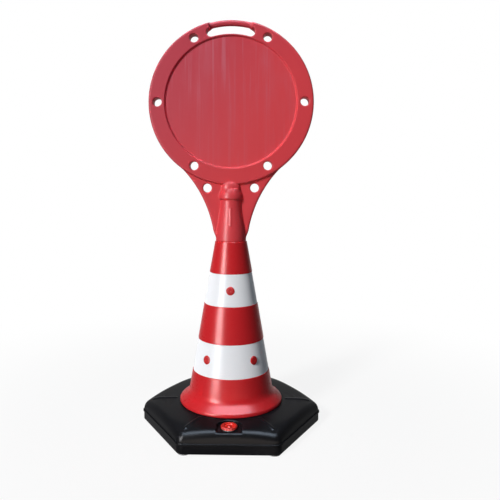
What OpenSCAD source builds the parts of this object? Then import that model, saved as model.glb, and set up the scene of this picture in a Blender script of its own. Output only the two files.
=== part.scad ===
// Cone sign: a hollow round sign board that lifts off a road cone, which lifts off a hexagonal ballast tank.
// Millimetres, +Z up, the front faces -Y, and the origin is on the ground under the middle of the base.

/* [Sign board] */
// Radius of the round board
board_r = 190; // [180:1:210]
// Thickness of the board at its rim
board_t = 32; // [28:1:40]
// Width of the raised rim around the sign recess
rim_w = 36; // [34:1:44]
// Radius that rounds the edges of the rim
rim_round = 4; // [1:0.5:6]
// Depth of the sign recess on each face
recess_depth = 5; // [2:0.5:6]
// Width of the sloped wall around the recess
recess_slope_w = 4; // [2:0.5:6]
// Wall of the hollow board
board_wall = 3; // [2:0.25:3.5]
// Number of holes around the rim
rim_hole_count = 6; // [4:2:6]
// Diameter of the holes in the rim
rim_hole_d = 20; // [16:1:26]
// Distance from the edge of the board to the middle of a rim hole
rim_hole_inset = 20.5; // [18:0.5:22]

/* [Hand slot] */
// Height of the hand slot, measured out from the middle of the board
slot_h = 21; // [18:0.5:24]
// Length of the hand slot between its round ends
slot_l = 112; // [90:1:120]
// Diameter of the grip bar over the slot
grip_d = 14; // [12:0.5:16]
// How far the grip bar stands out past the edge of the board
grip_rise = 1; // [0.5:0.25:3]

/* [Web and neck] */
// Height from the seam on the cone to the lowest point of the round board
stem_h = 130; // [126:1:150]
// Thickness of the fan shaped web under the board
web_t = 18; // [15:1:22]
// Radius of the hollow curve of the web's side edges
web_edge_r = 275; // [255:5:320]
// Diameter of the two holes in the web
web_hole_d = 20; // [14:1:24]
// Distance between the two web holes
web_hole_spacing = 109; // [100:1:120]
// Height of the web holes above the seam
web_hole_h = 122; // [112:1:126]
// Length of the neck from the seam to its waist
neck_l = 88; // [80:1:96]
// Radius of the neck at its waist
waist_r = 25.5; // [24:0.5:28]
// Length of the straight waist
waist_l = 7; // [4:0.5:12]
// Radius of the bulb over the waist
bulb_r = 28.9; // [28.5:0.1:32]
// Height of the bulb
bulb_h = 25; // [20:1:28]
// Radius of the nub on the bulb
nub_r = 21; // [17:0.5:22]
// Height of the nub
nub_h = 20; // [15:1:24]
// Width of the key rib on the front and back of the neck
key_rib_w = 8; // [7:0.5:10]
// Distance from the axis to the outer edge of the key rib
key_rib_reach = 30.6; // [30:0.1:32]
// Height of the upper end of the key rib above the seam
key_rib_top = 78; // [70:1:82]
// Length of the key rib
key_rib_l = 40; // [30:1:46]
// Wall around the keyway inside the key rib
key_wall = 2; // [1.5:0.25:2.5]

/* [Cone] */
// Height of the cone from its seat on the base to the seam under the sign board
cone_h = 364; // [355:1:390]
// Radius of the cone at the seam
cone_top_r = 36.7; // [36:0.1:39]
// Angle of the cone's side to its axis
cone_angle = 9.85; // [9:0.05:10.5]
// Wall of the cone
cone_wall = 4; // [3.5:0.25:5]
// Radius of the foot lip
lip_r = 119; // [115:0.5:124]
// Height of the widest point of the lip above the seat
lip_h = 2; // [2:0.5:5]
// Thickness of the lip where it stands on the base
lip_w = 8; // [7:0.5:10]
// Angle of the flare to the axis
flare_angle = 45; // [40:1:50]
// Radius of the hollow curve between the cone's side and the flare
flare_fillet = 12; // [8:1:20]
// Length of the spigot over the seam
spigot_l = 86; // [80:1:92]

/* [Reflective bands] */
// Height of a band's seat
band_h = 71; // [60:1:76]
// Height of the lower seat above the foot of the cone
lower_band_rise = 71; // [66:1:80]
// Height of the upper seat above the foot of the cone
upper_band_rise = 222; // [214:1:236]
// Depth of a seat
band_seat_depth = 2; // [1.6:0.1:2]
// Thickness of a band
band_t = 1.2; // [0.8:0.1:1.4]
// Diameter of a rivet head
rivet_head_d = 19; // [14:0.5:22]
// Height of a rivet head
rivet_head_h = 2.4; // [1.8:0.1:3]
// Diameter of a rivet shank
rivet_shank_d = 6; // [5:0.5:7]
// Angle of the lower band's rivets to each side of the front and of the back
lower_rivet_angle = 40; // [30:1:60]

/* [Base] */
// Width of the base across its flats, under the flange
base_w = 354; // [345:1:380]
// Radius of the base's corners
corner_r = 18; // [15:1:24]
// Height of the ring that the cone stands on
seat_z = 52; // [50:1:56]
// Height of the parting line between the tray and the cover
parting_z = 24; // [20:1:26]
// Wall of the tray and of the cover
base_wall = 3; // [2.5:0.25:4]
// How far the welded flange stands out
flange_out = 2; // [1:0.25:4]
// Thickness of each half of the flange
flange_t = 2; // [1.5:0.25:3]
// Angle of the cover's sides to the vertical
side_angle = 6; // [4:0.5:8]
// Height of the bevel over the cover's sides, down from the cone's seat
bevel_h = 6.5; // [5:0.5:8]
// Width of that bevel
bevel_w = 5.5; // [4:0.5:7]
// Angle of the cover's roof to the level
roof_angle = 1; // [0.5:0.25:2]
// Angle to the level of the falling edge of the roof
edge_angle = 17; // [14:0.5:20]
// Distance from the middle of a side's foot to the falling edge
roof_edge_w = 7; // [5:0.5:10]
// Width of the level ring outside the cone's lip
seat_land = 3; // [2:0.5:5]
// Height of the plug that centres the cone
plug_h = 31; // [26:1:34]
// Height of the six ridges on the roof
ridge_h = 1.5; // [1:0.25:2.5]
// Radius of the six ridges
ridge_r = 6; // [4:0.5:8]
// Diameter of a foot
foot_d = 28; // [22:1:30]
// How far a foot stands out under the tray
foot_rise = 3; // [2:0.25:4]

/* [Filler] */
// Diameter of the filler cap
cap_d = 34; // [33:0.5:36]
// Height of the cap's head
cap_head_h = 4.5; // [4:0.25:6]
// Diameter of the hollow in the cap's head
cap_cup_d = 24.5; // [22:0.5:26]
// Depth of the hollow in the cap's head
cap_cup_depth = 3; // [2:0.25:3]
// Diameter of the boss in the hollow
cap_boss_d = 8; // [6:0.5:10]
// Number of grip flutes around the cap
cap_flute_count = 18; // [12:2:24]
// Distance from the cover's foot to the cap's axis
filler_inset = 28; // [26:0.5:30]
// Finger room around the cap
finger_gap = 10; // [9:0.5:11]
// Drop from the cone's seat to the floor of the filler pocket
pocket_drop = 6; // [5.5:0.5:8]
// Outer diameter of the cap's thread
thread_d = 27; // [26:0.5:27.5]
// Depth of the thread
thread_depth = 1.2; // [1:0.1:1.4]
// Rise of the thread in one turn
thread_pitch = 5; // [4:0.25:5]
// Length of the cap's threaded shank
shank_l = 12.5; // [12:0.25:14]
// Thickness of the gasket
gasket_t = 1.5; // [1:0.25:2]

/* [Clearances] */
// Room around the spigot in the neck
spigot_clear = 0.4; // [0.3:0.05:0.6]
// Room on each side of the key in its keyway
key_clear = 0.4; // [0.3:0.05:0.6]
// Room around the plug in the lip
plug_clear = 0.4; // [0.3:0.05:0.8]
// Room between the plug's shoulder and the flare
plug_shoulder_clear = 1; // [0.5:0.1:2]
// Room under a band
band_clear = 0.1; // [0.05:0.05:0.2]
// Room at a band's upper and lower edge
band_edge_clear = 0.3; // [0.2:0.05:0.5]
// Room around a rivet shank
rivet_clear = 0.2; // [0.1:0.05:0.4]
// Room under a rivet head
rivet_seat_clear = 0.05; // [0.05:0.05:0.1]
// Room around a foot in its pocket
foot_clear = 0.1; // [0.05:0.05:0.3]
// Room between the threads
thread_clear = 0.35; // [0.3:0.05:0.5]

/* [Hidden] */
$fn = 96;

sign_red = "#c2333f";
cone_red = "#d2232a";
band_white = "#f1f2f4";
tank_black = "#202226";
rubber_black = "#17181a";
cap_red = "#d8382c";

// Every cut runs past its faces by this much
overrun = 20;
// Steps along one curved stretch of an outline
curve_steps = 12;
arc_steps = 5;

// Heights that the pieces share
seam_z = seat_z + cone_h;
board_z = seam_z + stem_h + board_r;
waist_z = seam_z + neck_l;
bulb_z = waist_z + waist_l;
nub_z = bulb_z + bulb_h;

// Sign board
half_t = board_t / 2;
recess_top_r = board_r - rim_w;
recess_r = recess_top_r - recess_slope_w;
rim_hole_ring_r = board_r - rim_hole_inset;
grip_ring_r = board_r + grip_rise - grip_d / 2;
slot_top_r = grip_ring_r - grip_d / 2;
slot_mid_r = slot_top_r - slot_h / 2;
slot_half_angle = asin((slot_l - slot_h) / 2 / slot_mid_r);
// The grip bar runs on into the rim past the slot's ends
grip_overlap_share = 1.5;
grip_half_angle = slot_half_angle * grip_overlap_share;

// Web: each side edge is a circle that touches the neck's side and cuts a little way into the board's rim
web_blend = 1.5;
web_circle_x = cone_top_r + web_edge_r;
web_circle_reach = board_r + web_edge_r - web_blend;
web_circle_drop = sqrt(web_circle_reach ^ 2 - web_circle_x ^ 2);
web_top_share = board_r / web_circle_reach;
web_top_x = web_circle_x * web_top_share;
web_top_z = board_z - web_circle_drop * web_top_share;

// Neck: an S curve from the cone's radius to the waist
function neck_r(z) = waist_r + (cone_top_r - waist_r) * (1 + cos(180 * (z - seam_z) / neck_l)) / 2;
function neck_curve(inset) = [
  for (i = [0 : curve_steps]) let (z = seam_z + neck_l * i / curve_steps) [neck_r(z) - inset, z]
];
bulb_crease_share = 0.8;
bulb_wide_share = 0.25;
bulb_edge_share = 0.95;
bulb_crease_r = bulb_r * bulb_crease_share;
bulb_wide_z = bulb_z + bulb_h * bulb_wide_share;
function bulb_curve(inset) = [
  for (i = [0 : curve_steps]) let (t = i / curve_steps)
    [bulb_crease_r + (bulb_r - bulb_crease_r) * cos(90 * t) - inset, bulb_wide_z + (nub_z - bulb_wide_z) * t]
];
nub_curve = [
  for (i = [0 : curve_steps]) let (a = 90 * i / curve_steps) [nub_r * cos(a), nub_z + nub_h * sin(a)]
];
key_rib_r = key_rib_w / 2;
key_top_z = seam_z + key_rib_top;
key_low_z = key_top_z - key_rib_l;
keyway_w = key_rib_w - 2 * key_wall;
keyway_reach = key_rib_reach - key_wall;

// Cone: straight side, hollow curve, straight flare and round lip
function cone_r(z) = cone_top_r + (seam_z - z) * tan(cone_angle);
shoulder_bevel = 1.5;
lip_round = 9;
lip_edge_round = 2;
lip_in_r = lip_r - lip_w;
lip_arc_z = seat_z + lip_h;
// Distances of the side's and the flare's straight lines from the origin, along their normals
side_line = cone_top_r * cos(cone_angle) + seam_z * sin(cone_angle);
flare_line = (lip_r - lip_round) * cos(flare_angle) + lip_arc_z * sin(flare_angle) + lip_round;
flare_turn = sin(flare_angle - cone_angle);
side_reach = side_line + flare_fillet;
flare_reach = flare_line + flare_fillet;
flare_centre = [
  (side_reach * sin(flare_angle) - flare_reach * sin(cone_angle)) / flare_turn,
  (flare_reach * cos(cone_angle) - side_reach * cos(flare_angle)) / flare_turn
];
function arc(centre, r, a0, a1) = [
  for (i = [0 : arc_steps]) let (a = a0 + (a1 - a0) * i / arc_steps) centre + r * [cos(a), sin(a)]
];
function flipped(list) = [for (i = [len(list) - 1 : -1 : 0]) list[i]];
lower_band_z = seat_z + lower_band_rise;
upper_band_z = seat_z + upper_band_rise;
function seat_points(z) = [
  [cone_r(z), z], [cone_r(z) - band_seat_depth, z],
  [cone_r(z + band_h) - band_seat_depth, z + band_h], [cone_r(z + band_h), z + band_h]
];
spigot_inset = board_wall + spigot_clear;
spigot_top_z = seam_z + spigot_l;
function spigot_curve(inset) = [
  for (p = neck_curve(spigot_inset + inset)) if (p[1] < spigot_top_z - cone_wall) p
];
spigot_top_r = neck_r(spigot_top_z) - spigot_inset;
spigot_round = cone_wall;

// Bands and rivets
function band_out_r(z) = cone_r(z) - band_seat_depth + band_clear + band_t;
upper_rivet_z = upper_band_z + band_h / 2;
lower_rivet_z = lower_band_z + band_h / 2;
upper_rivet_angles = [0, 180];
lower_rivet_angles = [
  lower_rivet_angle, -lower_rivet_angle, 180 - lower_rivet_angle, 180 + lower_rivet_angle
];
rivet_hole_r = rivet_shank_d / 2 + rivet_clear;
rivet_grip = band_t + band_clear + cone_wall - band_seat_depth;
rivet_tail_l = rivet_shank_d;
rivet_tail_share = 0.7;
rivet_tail_r = rivet_shank_d * rivet_tail_share;
rivet_tail_gap = 0.6;
rivet_edge_h = rivet_head_h / 3;
rivet_round_share = 0.85;
rivet_flat_share = 0.5;

// Base
side_r = base_w / 2;
corner_ring_r = (side_r - corner_r) / cos(30);
corner_places = [for (i = [0 : 5]) 60 * i];
roof_start_r = lip_r + seat_land;
roof_break_r = side_r - roof_edge_w;
function roof_z(r) = seat_z - (r - roof_start_r) * tan(roof_angle)
  - max(r - roof_break_r, 0) * (tan(edge_angle) - tan(roof_angle));
plug_r = lip_in_r - plug_clear;
plug_line = flare_line - cone_wall - plug_shoulder_clear;
plug_side_z = (plug_line - plug_r * cos(flare_angle)) / sin(flare_angle);
plug_top_z = seat_z + plug_h;
plug_top_r = (plug_line - plug_top_z * sin(flare_angle)) / cos(flare_angle);
cover_z = parting_z + flange_t;
shoulder_z = seat_z - bevel_h;
shoulder_lean = (shoulder_z - cover_z) * tan(side_angle);
shoulder_ring_r = corner_ring_r - shoulder_lean / cos(30);
cover_ring_r = shoulder_ring_r - bevel_w / cos(30);
ridge_start_r = roof_start_r + ridge_r;
ridge_end_r = roof_break_r;
tray_floor_t = base_wall + foot_rise / 2;
foot_sink = foot_rise / 2;

// Filler
filler_y = filler_inset - side_r;
pocket_r = cap_d / 2 + finger_gap;
pocket_z = seat_z - pocket_drop;
thread_r = thread_d / 2;
shank_r = thread_r - thread_depth;
bore_r = thread_r + thread_clear;
neck_tube_l = shank_l + base_wall / 2;
thread_turns = 1.6;
neck_thread_turns = 0.9;
thread_root_share = 0.42;
thread_crest_share = 0.2;
thread_steps = 20;
thread_start_z = pocket_z + gasket_t - shank_l + thread_pitch * thread_root_share;
neck_thread_start_z = thread_start_z + thread_pitch / 2;
gasket_in_r = bore_r + thread_clear;
gasket_inset = 1;
gasket_out_r = cap_d / 2 - gasket_inset;
cap_z = pocket_z + gasket_t;
cap_round = cap_head_h / 3;
flute_r = cap_head_h / 5;
shank_wall = 2.8;

// Places its children at the six corners, on a ring of the given radius
module at_corners(ring_r) {
  for (a = corner_places) rotate([0, 0, a]) translate([ring_r, 0, 0]) children();
}

// Flat hexagon with round corners, grown or shrunk evenly by the given amount
module hexagon(grow) {
  hull() at_corners(corner_ring_r) circle(r = corner_r + grow, $fn = 48);
}

// Hexagonal block with leaning sides and a bevel over them, from the flange to above the roof
module leaning_block(grow) {
  hull() {
    at_corners(corner_ring_r) translate([0, 0, parting_z])
      cylinder(h = flange_t, r = corner_r + grow, $fn = 48);
    at_corners(shoulder_ring_r) translate([0, 0, shoulder_z - flange_t])
      cylinder(h = flange_t, r = corner_r + grow, $fn = 48);
    at_corners(cover_ring_r) translate([0, 0, seat_z])
      cylinder(h = flange_t, r = corner_r + grow, $fn = 48);
  }
}

// Round solid under the roof and its falling edge, lowered by the given amount
module roof_cone(low_z, lower) {
  edge_r = corner_ring_r + corner_r;
  rotate_extrude() polygon([
    [0, low_z], [edge_r, low_z], [edge_r, roof_z(edge_r) - lower],
    [roof_break_r, roof_z(roof_break_r) - lower], [roof_start_r, seat_z - lower], [0, seat_z - lower]
  ]);
}

// Plug that centres the cone, from under the roof
module plug(low_z, shrink) {
  rotate_extrude() polygon([
    [0, low_z], [plug_r - shrink, low_z], [plug_r - shrink, plug_side_z - shrink / 2],
    [plug_top_r - shrink / 2, plug_top_z - shrink], [0, plug_top_z - shrink]
  ]);
}

module ridges() {
  ridge_l = (ridge_end_r - ridge_start_r) / cos(roof_angle);
  at_corners(ridge_start_r) translate([0, 0, roof_z(ridge_start_r) + ridge_h - ridge_r])
    rotate([0, 90 + roof_angle, 0]) cylinder(h = ridge_l, r = ridge_r);
}

// Round pocket that opens through the front of the cover, with its floor at the given height
module filler_pocket(r, floor_z) {
  translate([0, filler_y, floor_z]) cylinder(h = seat_z, r = r);
  translate([-r, filler_y - filler_inset - overrun, floor_z]) cube([2 * r, filler_inset + overrun, seat_z]);
}

// One thread ridge, a sweep of a four-sided section along a helix
module thread(root_r, crest_r, start_z, turns) {
  rings = ceil(turns * thread_steps);
  root_w = thread_pitch * thread_root_share / 2;
  crest_w = thread_pitch * thread_crest_share / 2;
  section = [[root_r, -root_w], [crest_r, -crest_w], [crest_r, crest_w], [root_r, root_w]];
  sides = len(section);
  points = [
    for (i = [0 : rings]) let (a = 360 * i / thread_steps, z = start_z + thread_pitch * i / thread_steps)
      for (p = section) [p[0] * cos(a), p[0] * sin(a), z + p[1]]
  ];
  outward = crest_r > root_r;
  skin = [
    for (i = [0 : rings - 1], k = [0 : sides - 1])
      let (a = i * sides + k, b = i * sides + (k + 1) % sides)
        for (t = [[a, b, a + sides], [b, b + sides, a + sides]]) outward ? t : flipped(t)
  ];
  first = [[0, 2, 1], [0, 3, 2]];
  last = [for (t = first) flipped(t) + rings * sides * [1, 1, 1]];
  caps = [for (t = concat(first, last)) outward ? t : flipped(t)];
  polyhedron(points = points, faces = concat(skin, caps));
}

// Lower half of the tank: floor, skirt and the lower half of the welded flange
module base_tray() color(tank_black) difference() {
  union() {
    translate([0, 0, foot_rise]) linear_extrude(parting_z - foot_rise) hexagon(0);
    translate([0, 0, parting_z - flange_t]) linear_extrude(flange_t) hexagon(flange_out);
  }
  translate([0, 0, foot_rise + tray_floor_t]) linear_extrude(parting_z) hexagon(-base_wall);
  at_corners(corner_ring_r) translate([0, 0, foot_rise - overrun])
    cylinder(h = foot_sink + overrun, d = foot_d + 2 * foot_clear);
}

// Upper half of the tank: steep sides, roof with a falling edge, plug for the cone and filler pocket
module base_cover() color(tank_black) difference() {
  union() {
    difference() {
      union() {
        translate([0, 0, parting_z]) linear_extrude(flange_t) hexagon(flange_out);
        intersection() {
          leaning_block(0);
          union() {
            roof_cone(parting_z, 0);
            ridges();
          }
        }
        plug(cover_z, 0);
      }
      intersection() {
        union() {
          leaning_block(-base_wall);
          translate([0, 0, parting_z - overrun]) linear_extrude(overrun + flange_t) hexagon(-base_wall);
        }
        roof_cone(parting_z - overrun, base_wall);
      }
      plug(cover_z, base_wall);
    }
    intersection() {
      filler_pocket(pocket_r + base_wall, pocket_z - base_wall);
      leaning_block(0);
      roof_cone(parting_z, 0);
    }
    translate([0, filler_y, pocket_z - neck_tube_l]) cylinder(h = neck_tube_l, r = bore_r + base_wall);
  }
  filler_pocket(pocket_r, pocket_z);
  difference() {
    translate([0, filler_y, pocket_z - neck_tube_l - overrun])
      cylinder(h = neck_tube_l + 2 * overrun, r = bore_r);
    // The neck's own thread runs half a turn's rise over the cap's
    translate([0, filler_y, 0])
      thread(bore_r + thread_clear, bore_r - thread_depth, neck_thread_start_z, neck_thread_turns);
  }
}

// Rubber feet pressed into the tray's six corners
module base_feet() color(rubber_black)
  at_corners(corner_ring_r) cylinder(h = foot_rise + foot_sink, d = foot_d);

// Keys on the front and back of the spigot, or with room added, the keyways for them
module keys(room) {
  for (a = [0, 180]) rotate([0, 0, a])
    translate([-keyway_w / 2 + key_clear - room, -keyway_reach + key_clear - room, key_low_z])
      cube([
        keyway_w - 2 * key_clear + 2 * room, keyway_reach - spigot_top_r,
        key_rib_l - key_rib_r - key_clear + room
      ]);
}

// Hollow cone with its flared foot, the seats of the two bands and the spigot for the sign board
module cone_shell() color(cone_red) {
  lip_in_z = (flare_line - cone_wall - lip_in_r * cos(flare_angle)) / sin(flare_angle);
  shoulder_in_z = seam_z - cone_wall;
  outside = concat(
    arc([lip_r - lip_edge_round, seat_z + lip_edge_round], lip_edge_round, -90, 0),
    arc([lip_r - lip_round, lip_arc_z], lip_round, 0, flare_angle),
    arc(flare_centre, -flare_fillet, flare_angle, cone_angle),
    seat_points(lower_band_z),
    seat_points(upper_band_z),
    [[cone_r(seam_z - shoulder_bevel), seam_z - shoulder_bevel], [cone_top_r - shoulder_bevel / 3, seam_z]],
    spigot_curve(0),
    arc([spigot_top_r - spigot_round, spigot_top_z - spigot_round], spigot_round, 0, 90)
  );
  inside = concat(
    [[lip_in_r, seat_z], [lip_in_r, lip_in_z]],
    arc(flare_centre, -flare_fillet - cone_wall, flare_angle, cone_angle),
    [[cone_r(shoulder_in_z) - cone_wall / cos(cone_angle), shoulder_in_z]],
    [for (p = spigot_curve(cone_wall)) if (p[1] > seam_z) p],
    [[0, spigot_top_z - cone_wall]]
  );
  difference() {
    rotate_extrude() polygon(concat(outside, [[0, spigot_top_z]], flipped(inside)));
    rivet_holes(upper_rivet_angles, upper_rivet_z);
    rivet_holes(lower_rivet_angles, lower_rivet_z);
  }
  keys(0);
}

// Places its children on the outside of a band, square to the cone's side
module on_band(angles, z) {
  for (a = angles) rotate([0, 0, a]) translate([0, -band_out_r(z), z])
    rotate([90 - cone_angle, 0, 0]) children();
}

module rivet_holes(angles, z) {
  on_band(angles, z) translate([0, 0, -rivet_grip - overrun / 2])
    cylinder(h = rivet_grip + overrun, r = rivet_hole_r);
}

// White reflective sleeve in its seat
module band(low_z, angles, rivet_z) {
  z0 = low_z + band_edge_clear;
  z1 = low_z + band_h - band_edge_clear;
  difference() {
    rotate_extrude() polygon([
      [band_out_r(z0) - band_t, z0], [band_out_r(z0), z0], [band_out_r(z1), z1], [band_out_r(z1) - band_t, z1]
    ]);
    rivet_holes(angles, rivet_z);
  }
}

module upper_reflective_band() color(band_white) band(upper_band_z, upper_rivet_angles, upper_rivet_z);
module lower_reflective_band() color(band_white) band(lower_band_z, lower_rivet_angles, lower_rivet_z);

// Push rivets: a low domed head shaped to the band, a shank and a swollen tail inside the cone
module rivets(low_z, angles, z) {
  head_r = rivet_head_d / 2;
  tail_z = -rivet_grip - rivet_tail_gap;
  cut_z0 = low_z - overrun;
  cut_z1 = low_z + band_h + overrun;
  difference() {
    on_band(angles, z) rotate_extrude() polygon([
      [0, -rivet_head_h], [head_r, -rivet_head_h], [head_r, rivet_edge_h],
      [head_r * rivet_round_share, rivet_head_h - rivet_edge_h / 2],
      [head_r * rivet_flat_share, rivet_head_h], [0, rivet_head_h]
    ]);
    rotate_extrude() polygon([
      [0, cut_z0], [band_out_r(cut_z0) + rivet_seat_clear, cut_z0],
      [band_out_r(cut_z1) + rivet_seat_clear, cut_z1], [0, cut_z1]
    ]);
  }
  on_band(angles, z) {
    translate([0, 0, tail_z]) cylinder(h = rivet_edge_h - tail_z, d = rivet_shank_d);
    translate([0, 0, tail_z - rivet_tail_l])
      cylinder(h = rivet_tail_l, r1 = rivet_shank_d / 4, r2 = rivet_tail_r);
  }
}

module upper_band_rivets() color(cone_red) rivets(upper_band_z, upper_rivet_angles, upper_rivet_z);
module lower_band_rivets() color(cone_red) rivets(lower_band_z, lower_rivet_angles, lower_rivet_z);

// Round part of the board, shrunk evenly by the given wall
module disc(wall) {
  face_y = half_t - wall;
  floor_y = half_t - recess_depth - wall;
  edge_round = max(rim_round - wall, 0);
  edge_r = board_r - wall;
  half = concat(
    [[0, floor_y], [recess_r + wall / 2, floor_y], [recess_top_r + wall / 2, face_y]],
    edge_round > 0
      ? flipped(arc([edge_r - edge_round, face_y - edge_round], edge_round, 0, 90))
      : [[edge_r, face_y]]
  );
  back = [for (p = flipped(half)) [p[0], -p[1]]];
  translate([0, 0, board_z]) rotate([90, 0, 0]) rotate_extrude() polygon(concat(half, back));
}

// Fan shaped web between the board and the neck, shrunk evenly by the given wall
module web(wall) {
  translate([0, web_t / 2 - wall, 0]) rotate([90, 0, 0]) linear_extrude(web_t - 2 * wall) difference() {
    translate([-web_top_x, seam_z]) square([2 * web_top_x, web_top_z - seam_z]);
    for (side = [-1, 1]) translate([side * web_circle_x, board_z - web_circle_drop])
      circle(r = web_edge_r + wall, $fn = 4 * $fn);
  }
}

// Hand slot, grown evenly by the given amount, cut out to past the edge of the board
module hand_slot(grow) {
  slot_r = slot_h / 2 + grow;
  depth = board_t + overrun;
  translate([0, depth / 2, board_z]) rotate([90, 0, 0]) linear_extrude(depth) {
    for (side = [-1, 1]) rotate([0, 0, 90 + side * slot_half_angle]) translate([slot_mid_r, 0])
      circle(r = slot_r);
    intersection() {
      difference() {
        circle(r = board_r + overrun);
        circle(r = slot_mid_r - slot_r);
      }
      polygon([
        [0, 0], 2 * board_r * [sin(slot_half_angle), cos(slot_half_angle)],
        2 * board_r * [-sin(slot_half_angle), cos(slot_half_angle)]
      ]);
    }
  }
}

// Holes through the rim and the web, grown by the given amount
module board_holes(grow) {
  depth = board_t + overrun;
  translate([0, depth / 2, board_z]) rotate([90, 0, 0])
    for (i = [0 : rim_hole_count - 1]) rotate([0, 0, 360 * i / rim_hole_count])
      translate([rim_hole_ring_r, 0, 0]) cylinder(h = depth, d = rim_hole_d + 2 * grow);
  for (side = [-1, 1]) translate([side * web_hole_spacing / 2, depth / 2, seam_z + web_hole_h])
    rotate([90, 0, 0]) cylinder(h = depth, d = web_hole_d + 2 * grow);
}

// Grip bar over the hand slot
module grip_bar() {
  translate([0, 0, board_z]) rotate([90, 0, 0]) rotate([0, 0, 90 - grip_half_angle])
    rotate_extrude(angle = 2 * grip_half_angle) translate([grip_ring_r, 0]) circle(d = grip_d);
}

// Neck with its bulb and nub, and the key ribs on its front and back
module neck() {
  rotate_extrude() polygon(concat(
    [[0, seam_z]], neck_curve(0), [[waist_r, bulb_z], [bulb_r * bulb_edge_share, bulb_z]],
    bulb_curve(0), nub_curve
  ));
  for (side = [-1, 1]) translate([0, side * (key_rib_reach - key_rib_r), key_low_z]) {
    cylinder(h = key_rib_l - key_rib_r, r = key_rib_r);
    translate([0, 0, key_rib_l - key_rib_r]) sphere(r = key_rib_r);
  }
}

// Hollow of the neck, which is the socket for the cone's spigot
module neck_hollow() {
  rotate_extrude() polygon(concat(
    [[0, seam_z - overrun], [cone_top_r - board_wall, seam_z - overrun]], neck_curve(board_wall),
    [[waist_r - board_wall, bulb_z]], bulb_curve(board_wall), [[0, nub_z]]
  ));
  keys(key_clear);
}

// Hollow sign board with its recessed faces, hand slot, web and socket neck
module sign_board() color(sign_red) difference() {
  union() {
    difference() {
      union() {
        disc(0);
        web(0);
      }
      hand_slot(0);
    }
    neck();
    grip_bar();
  }
  difference() {
    union() {
      disc(board_wall);
      web(board_wall);
    }
    hand_slot(board_wall);
    board_holes(board_wall);
  }
  neck_hollow();
  board_holes(0);
}

// Flat ring that seals the cap
module cap_gasket() color(rubber_black) translate([0, filler_y, pocket_z]) difference() {
  cylinder(h = gasket_t, r = gasket_out_r);
  translate([0, 0, -overrun]) cylinder(h = gasket_t + 2 * overrun, r = gasket_in_r);
}

// Screw cap with a hollow head, a boss in the hollow and a threaded shank
module filler_cap() color(cap_red) translate([0, filler_y, 0]) {
  head_r = cap_d / 2;
  top_z = cap_z + cap_head_h;
  cup_r = cap_cup_d / 2;
  difference() {
    union() {
      rotate_extrude() polygon(concat(
        [[0, cap_z], [head_r, cap_z]],
        arc([head_r - cap_round, top_z - cap_round], cap_round, 0, 90),
        [[cup_r, top_z], [cup_r, top_z - cap_cup_depth], [0, top_z - cap_cup_depth]]
      ));
      translate([0, 0, cap_z - shank_l]) cylinder(h = shank_l, r = shank_r);
      translate([0, 0, cap_z]) cylinder(h = cap_head_h - cap_cup_depth / 3, d = cap_boss_d);
    }
    translate([0, 0, cap_z - shank_l - overrun]) cylinder(h = shank_l + overrun, r = shank_r - shank_wall);
    for (i = [0 : cap_flute_count - 1]) rotate([0, 0, 360 * i / cap_flute_count])
      translate([head_r + flute_r / 2, 0, cap_z - overrun])
        cylinder(h = cap_head_h + 2 * overrun, r = flute_r);
  }
  thread(shank_r - thread_clear, thread_r, thread_start_z, thread_turns);
}

base_tray();
base_cover();
base_feet();
cone_shell();
upper_reflective_band();
lower_reflective_band();
upper_band_rivets();
lower_band_rivets();
sign_board();
cap_gasket();
filler_cap();
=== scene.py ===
"""Cone sign: a hollow sign board on a road cone and a ballast tank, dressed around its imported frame.

Metres, +Z up, the front faces -Y, and the origin is on the ground under the middle of the base.
"""
import math

import bmesh
import bpy
import numpy as np
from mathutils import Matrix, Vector


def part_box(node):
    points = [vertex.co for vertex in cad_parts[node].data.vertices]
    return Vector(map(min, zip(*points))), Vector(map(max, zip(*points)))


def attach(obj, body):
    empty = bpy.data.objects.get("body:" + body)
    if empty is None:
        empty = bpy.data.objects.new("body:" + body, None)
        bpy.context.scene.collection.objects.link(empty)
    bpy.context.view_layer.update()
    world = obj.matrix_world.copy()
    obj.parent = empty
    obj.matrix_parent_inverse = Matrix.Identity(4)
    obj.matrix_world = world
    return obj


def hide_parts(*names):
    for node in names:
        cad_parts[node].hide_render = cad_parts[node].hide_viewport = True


bl_info = {
    "name": "Cone Sign",
    "version": (1, 0, 0),
    "blender": (4, 5, 0),
    "location": "3D View > Sidebar > Cone Sign",
    "description": "Builds the moulded pieces, finishes and stage of a cone sign around its frame",
    "category": "Add Mesh",
}

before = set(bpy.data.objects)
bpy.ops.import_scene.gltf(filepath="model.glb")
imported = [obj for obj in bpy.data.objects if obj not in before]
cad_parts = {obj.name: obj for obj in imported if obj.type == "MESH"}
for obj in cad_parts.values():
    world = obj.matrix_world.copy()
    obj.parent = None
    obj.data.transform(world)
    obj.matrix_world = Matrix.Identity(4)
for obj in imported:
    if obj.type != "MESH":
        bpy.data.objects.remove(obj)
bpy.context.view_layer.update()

MM = 0.001
BOARD_LOW, BOARD_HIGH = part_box("sign_board")
CONE_LOW, CONE_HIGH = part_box("cone_shell")
TRAY_LOW, TRAY_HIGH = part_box("base_tray")
COVER_LOW, COVER_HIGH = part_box("base_cover")
CAP_LOW, CAP_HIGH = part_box("filler_cap")
GASKET_LOW, GASKET_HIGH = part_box("cap_gasket")
FEET_LOW, FEET_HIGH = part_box("base_feet")
BANDS = {
    "upper": (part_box("upper_reflective_band"), (0, 180)),
    "lower": (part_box("lower_reflective_band"), (40, -40, 140, 220)),
}
FILLER_Y = (GASKET_LOW.y + GASKET_HIGH.y) / 2

# A polynomial blend reaches this share of its radius to each side, as a round fillet does on square faces
FILLET_REACH = 4 * (1 - math.sqrt(0.5))
# Flat areas of a netted mesh are joined where faces turn less than this
FLAT_ANGLE = math.radians(0.3)
# Empty cells around a netted piece
NET_MARGIN = 2
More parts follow.
